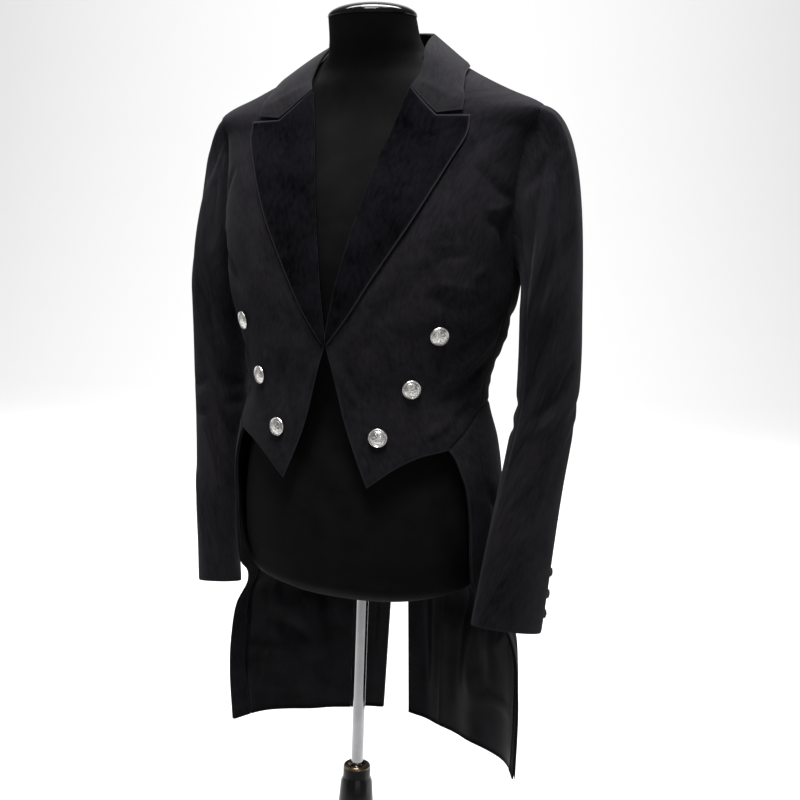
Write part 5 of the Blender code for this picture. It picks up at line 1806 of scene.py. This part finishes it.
UNDER_SLEEVE_CREASES = {
    Side.LEFT: (
        Crease(((120.0, 8.8), (148.0, 9.2), (176.0, 9.2)), 0.0090, -0.0036),
        Crease(((122.0, 9.9), (180.0, 9.9)), 0.0080, -0.0034),
        Crease(((200.0, 3.5), (212.0, 5.0), (214.0, 7.0)), 0.0100, -0.0031),
    ),
    Side.RIGHT: (
        Crease(((118.0, 9.0), (144.0, 9.5), (170.0, 9.4)), 0.0090, -0.0036),
        Crease(((120.0, 10.2), (176.0, 10.1)), 0.0080, -0.0031),
        Crease(((205.0, 3.8), (212.0, 5.2), (209.0, 7.0)), 0.0100, -0.0031),
    ),
}


@dataclass
class Tailcoat:
    """The coat: its panels, lapels, collar, sleeves, lining and buttons."""

    front_buttons: Sequence[Brim] = (Brim(1.151, 0.138), Brim(1.082, 0.107), Brim(1.019, 0.071))
    front_button_radius: float = 0.0122
    cuff_heights: Sequence[float] = (0.842, 0.815, 0.788)
    cuff_turn: float = -78.0
    cuff_button_radius: float = 0.0074
    cuff_button_lift: float = 0.0007
    front_button_lift: float = SEAM + 0.0002
    facing_end: float = 1.0
    lining_start: float = 1.025
    lining_top: float = 10.0

    def __post_init__(self) -> None:
        """Make the coat's materials and cuts."""
        self.twill, self.velvet = TWILL.build(), VELVET_PILE.build()
        self.satin, self.pewter, self.collar_twill = SATIN_LINING.build(), PEWTER.build(), COLLAR_TWILL_PAINTED_LIGHTER.build()
        self.front, self.side_body, self.back = front_cut(), side_cut(), back_cut()
        self.tail, self.lapel = tail_cut(), lapel_cut()

    def panels(self, side: Side) -> list[Panel]:
        """The coat's panels on one side, outer cloth first."""
        word = side.word
        under = -CLOTH - SEAM
        return [
            Panel(f"front_cloth_{word}", f"front_{word}", side, self.front, (0.290, 0.560), 0.100, self.twill,
                  grain=7, creases=CHEST_CREASES[side], free=Free(left=1.0, bottom=5 / 8)),
            Panel(f"side_cloth_{word}", f"side_body_{word}", side, self.side_body, (0.150, 0.270), 0.0322,
                  self.twill, grain=7, creases=SIDE_CREASES[side]),
            Panel(f"back_cloth_{word}", f"back_{word}", side, self.back, (0.190, 0.970), 0.1046, self.twill,
                  grain=6, creases=BACK_CREASES[side], free=Free(right=0.5, bottom=1.0)),
            Panel(f"tail_cloth_{word}", f"tail_{word}", side, self.tail, (0.270, 0.530), 0.1064, self.twill,
                  grain=7, creases=TAIL_CREASES[side], free=Free(left=1.0, bottom=1.0)),
            Panel(f"facing_cloth_{word}", f"tail_facing_{word}", side, self.tail, (0.060, 0.560), 0.0134,
                  self.twill, out=under, creases=TAIL_CREASES[side], free=Free(right=1.0), grain=7,
                  columns=(0.0, self.facing_end), rests_on=(f"tail_cloth_{word}",)),
            Panel(f"tail_lining_cloth_{word}", f"tail_lining_{word}", side, self.tail, (0.240, 0.480), 0.0815,
                  self.satin, "satin", under, SATIN, 6, TAIL_CREASES[side],
                  columns=(self.lining_start, self.tail.columns), rows=(0.0, self.lining_top),
                  rests_on=(f"tail_cloth_{word}",)),
            Panel(f"back_lining_cloth_{word}", f"back_lining_{word}", side, self.back, (0.070, 0.470), 0.0240,
                  self.satin, "satin", under, SATIN, 6, BACK_CREASES[side], rows=(0.0, self.lining_top),
                  rests_on=(f"back_cloth_{word}",)),
            Lapel(f"lapel_velvet_{word}", f"lapel_{word}", side, self.lapel, (0.165, 0.335), 0.0225,
                  self.velvet, "velvet", LYING + VELVET, VELVET, 8, CHEST_CREASES[side],
                  Free(right=1.0, top=1.0), Hold.FOLDED, (f"front_cloth_{word}",)),
        ]

    def sleeves(self, side: Side) -> list[SleevePiece]:
        """The two cut pieces of one sleeve."""
        word = side.word
        return [
            SleevePiece(f"top_sleeve_cloth_{word}", f"top_sleeve_{word}", side, (-96.0, 110.0),
                        (0.230, 0.700), 0.1297, self.twill, 60, TOP_SLEEVE_CREASES[side]),
            SleevePiece(f"under_sleeve_cloth_{word}", f"under_sleeve_{word}", side, (110.0, 264.0),
                        (0.150, 0.630), 0.0748, self.twill, 40, UNDER_SLEEVE_CREASES[side]),
        ]

    def buttons(self, side: Side) -> list[Button]:
        """The buttons of one front and one cuff."""
        word, made = side.word, []
        flip = np.array([side.value, 1, 1])
        for number, brim in enumerate(self.front_buttons, start=1):
            place = np.array([float(COAT.angle_of(brim.across, brim.height)), brim.height])
            point = tilted(COAT.point(place, self.front_button_lift) * flip)
            made.append(Button(f"front_stud_{word}_{number}", f"front_button_{word}_{number}",
                               self.front_button_radius, point, COAT.normal(place) * flip, self.pewter))
        for number, height in enumerate(self.cuff_heights, start=1):
            row, turn = np.array(SLEEVE.row_at(height)), np.array(self.cuff_turn)
            outward = SLEEVE.normal(row, turn)
            point = tilted((SLEEVE.point(row, turn) + outward * self.cuff_button_lift) * flip)
            made.append(Button(f"cuff_stud_{word}_{number}", f"cuff_button_{word}_{number}",
                               self.cuff_button_radius, point, outward * flip, self.pewter))
        return made

    def build(self) -> None:
        """Make the whole coat."""
        for side in Side:
            for piece in (*self.panels(side), *self.sleeves(side), *self.buttons(side)):
                piece.build()
        collar = Collar(self.collar_twill)
        collar.build_stand(self.front, self.back)
        collar.build_leaf()


@dataclass
class Studio:
    """A plain pale floor that curves up behind, soft lamps, and the photograph's camera."""

    focal: float = 1340.6
    image: float = 800.0
    azimuth: float = 23.12
    distance: float = 1.8
    height: float = 1.3341
    pitch: float = 9.118
    roll: float = 2.1
    aside: float = 0.0421
    floor_grey: Colour = (0.38, 0.38, 0.38)
    world_light: float = 0.12

    def axes(self) -> tuple[Vector, Vector, Vector]:
        """The camera's way back, right and up before its pitch and roll."""
        turn = math.radians(self.azimuth)
        return (Vector((math.sin(turn), -math.cos(turn), 0)), Vector((math.cos(turn), math.sin(turn), 0)),
                Vector((0, 0, 1)))

    def build_camera(self) -> None:
        """Set the camera where the photograph was taken from."""
        back, right, up = self.axes()
        pitch, roll = math.radians(self.pitch), math.radians(self.roll)
        view = -back * math.cos(pitch) - up * math.sin(pitch)
        over = right.cross(view)
        across = right * math.cos(roll) + over * math.sin(roll)
        over = over * math.cos(roll) - right * math.sin(roll)
        place = back * self.distance + right * self.aside + up * self.height
        data = bpy.data.cameras.new("photo_camera")
        data.sensor_width = 36.0
        data.lens = 36.0 * self.focal / self.image
        camera = bpy.data.objects.new("photo_camera", data)
        turn = Matrix((across, over, -view)).transposed().to_4x4()
        camera.matrix_world = Matrix.Translation(place) @ turn
        bpy.context.scene.collection.objects.link(camera)
        bpy.context.scene.camera = camera

    def build_floor(self) -> bpy.types.Object:
        """Make the floor, which curves up far behind the object."""
        shell = bmesh.new()
        bmesh.ops.create_grid(shell, x_segments=2, y_segments=40, size=1.0)
        half_width, straight, bend, wall = 12.0, 6.0, 3.0, 6.0
        for vertex in shell.verts:
            run = (vertex.co.y + 1) / 2 * (straight * 2 + bend * math.pi / 2 + wall) - straight
            x, y, z = vertex.co.x * half_width, run, 0.0
            if run > straight:
                angle = min((run - straight) / bend, math.pi / 2)
                y, z = straight + bend * math.sin(angle), bend * (1 - math.cos(angle))
                z += max(0.0, run - straight - bend * math.pi / 2)
            vertex.co = (x, y, z)
        bmesh.ops.rotate(shell, verts=shell.verts, cent=(0, 0, 0),
                         matrix=Matrix.Rotation(math.radians(self.azimuth), 3, "Z"))
        mesh = bpy.data.meshes.new("studio_floor")
        shell.to_mesh(mesh)
        shell.free()
        mesh.shade_smooth()
        material, _, shader = start_material("pale_floor")
        shader.inputs["Base Color"].default_value = (*self.floor_grey, 1)
        shader.inputs["Roughness"].default_value = 0.9
        mesh.materials.append(material)
        floor = bpy.data.objects.new("studio_floor", mesh)
        bpy.context.scene.collection.objects.link(floor)
        return floor

    def build_lamp(self, name: str, place: Point, aim: Point, size: float, power: float) -> None:
        """Make a soft square lamp.

        Args:
            name: its name.
            place: metres to the camera's right, ahead of it and up, from the object's foot.
            aim: the point that it faces.
            size: the side of the square.
            power: in watts.
        """
        back, right, up = self.axes()
        data = bpy.data.lights.new(name, "AREA")
        data.shape, data.size, data.energy = "SQUARE", size, power
        lamp = bpy.data.objects.new(name, data)
        point = right * place[0] - back * place[1] + up * place[2]
        lamp.location = point
        lamp.rotation_euler = (point - Vector(aim)).to_track_quat("Z", "Y").to_euler()
        bpy.context.scene.collection.objects.link(lamp)

    def wall_aim(self) -> Point:
        """A point low on the floor's far curve, straight behind the object."""
        back, _, _ = self.axes()
        return tuple(-back * 7.0 + Vector((0, 0, 0.8)))

    def build_world(self) -> None:
        """Light the scene softly from all round."""
        world = bpy.context.scene.world or bpy.data.worlds.new("studio_world")
        bpy.context.scene.world = world
        world.use_nodes = True
        backdrop = world.node_tree.nodes["Background"]
        backdrop.inputs["Color"].default_value = (1, 1, 1, 1)
        backdrop.inputs["Strength"].default_value = self.world_light

    def build(self) -> None:
        """Make the whole studio, shown without a film curve so that the black cloth stays black."""
        bpy.context.scene.view_settings.view_transform = "Standard"
        self.build_camera()
        self.build_floor()
        self.build_world()
        chest = (0.0, 0.0, 1.25)
        self.build_lamp("key_lamp", (-0.2, -1.0, 3.7), chest, 1.0, 150.0)
        self.build_lamp("top_lamp", (0.1, 0.5, 3.4), chest, 1.2, 80.0)
        self.build_lamp("wall_lamp", (0.0, 2.2, 5.5), self.wall_aim(), 4.0, 1400.0)
        self.build_lamp("front_fill", (0.6, -3.2, 1.5), chest, 2.0, 10.0)
        self.build_lamp("left_fill", (-2.4, 0.2, 1.0), (0.0, 0.0, 0.9), 2.0, 5.0)
        self.build_lamp("right_fill", (2.4, 0.4, 1.0), (0.0, 0.0, 0.9), 2.0, 15.0)


def main() -> None:
    """Build the studio, the stand, the form and the coat."""
    logging.basicConfig(level=logging.INFO, format="%(name)s: %(message)s")
    Studio().build()
    Stand(CHROME.build(), PLASTIC.build(), IRON.build(), BRONZE.build()).build()
    form = DressForm(COVER.build(), GLOSS.build())
    form.build_torso()
    form.build_cap()
    Tailcoat().build()


if __name__ == "__main__":
    main()
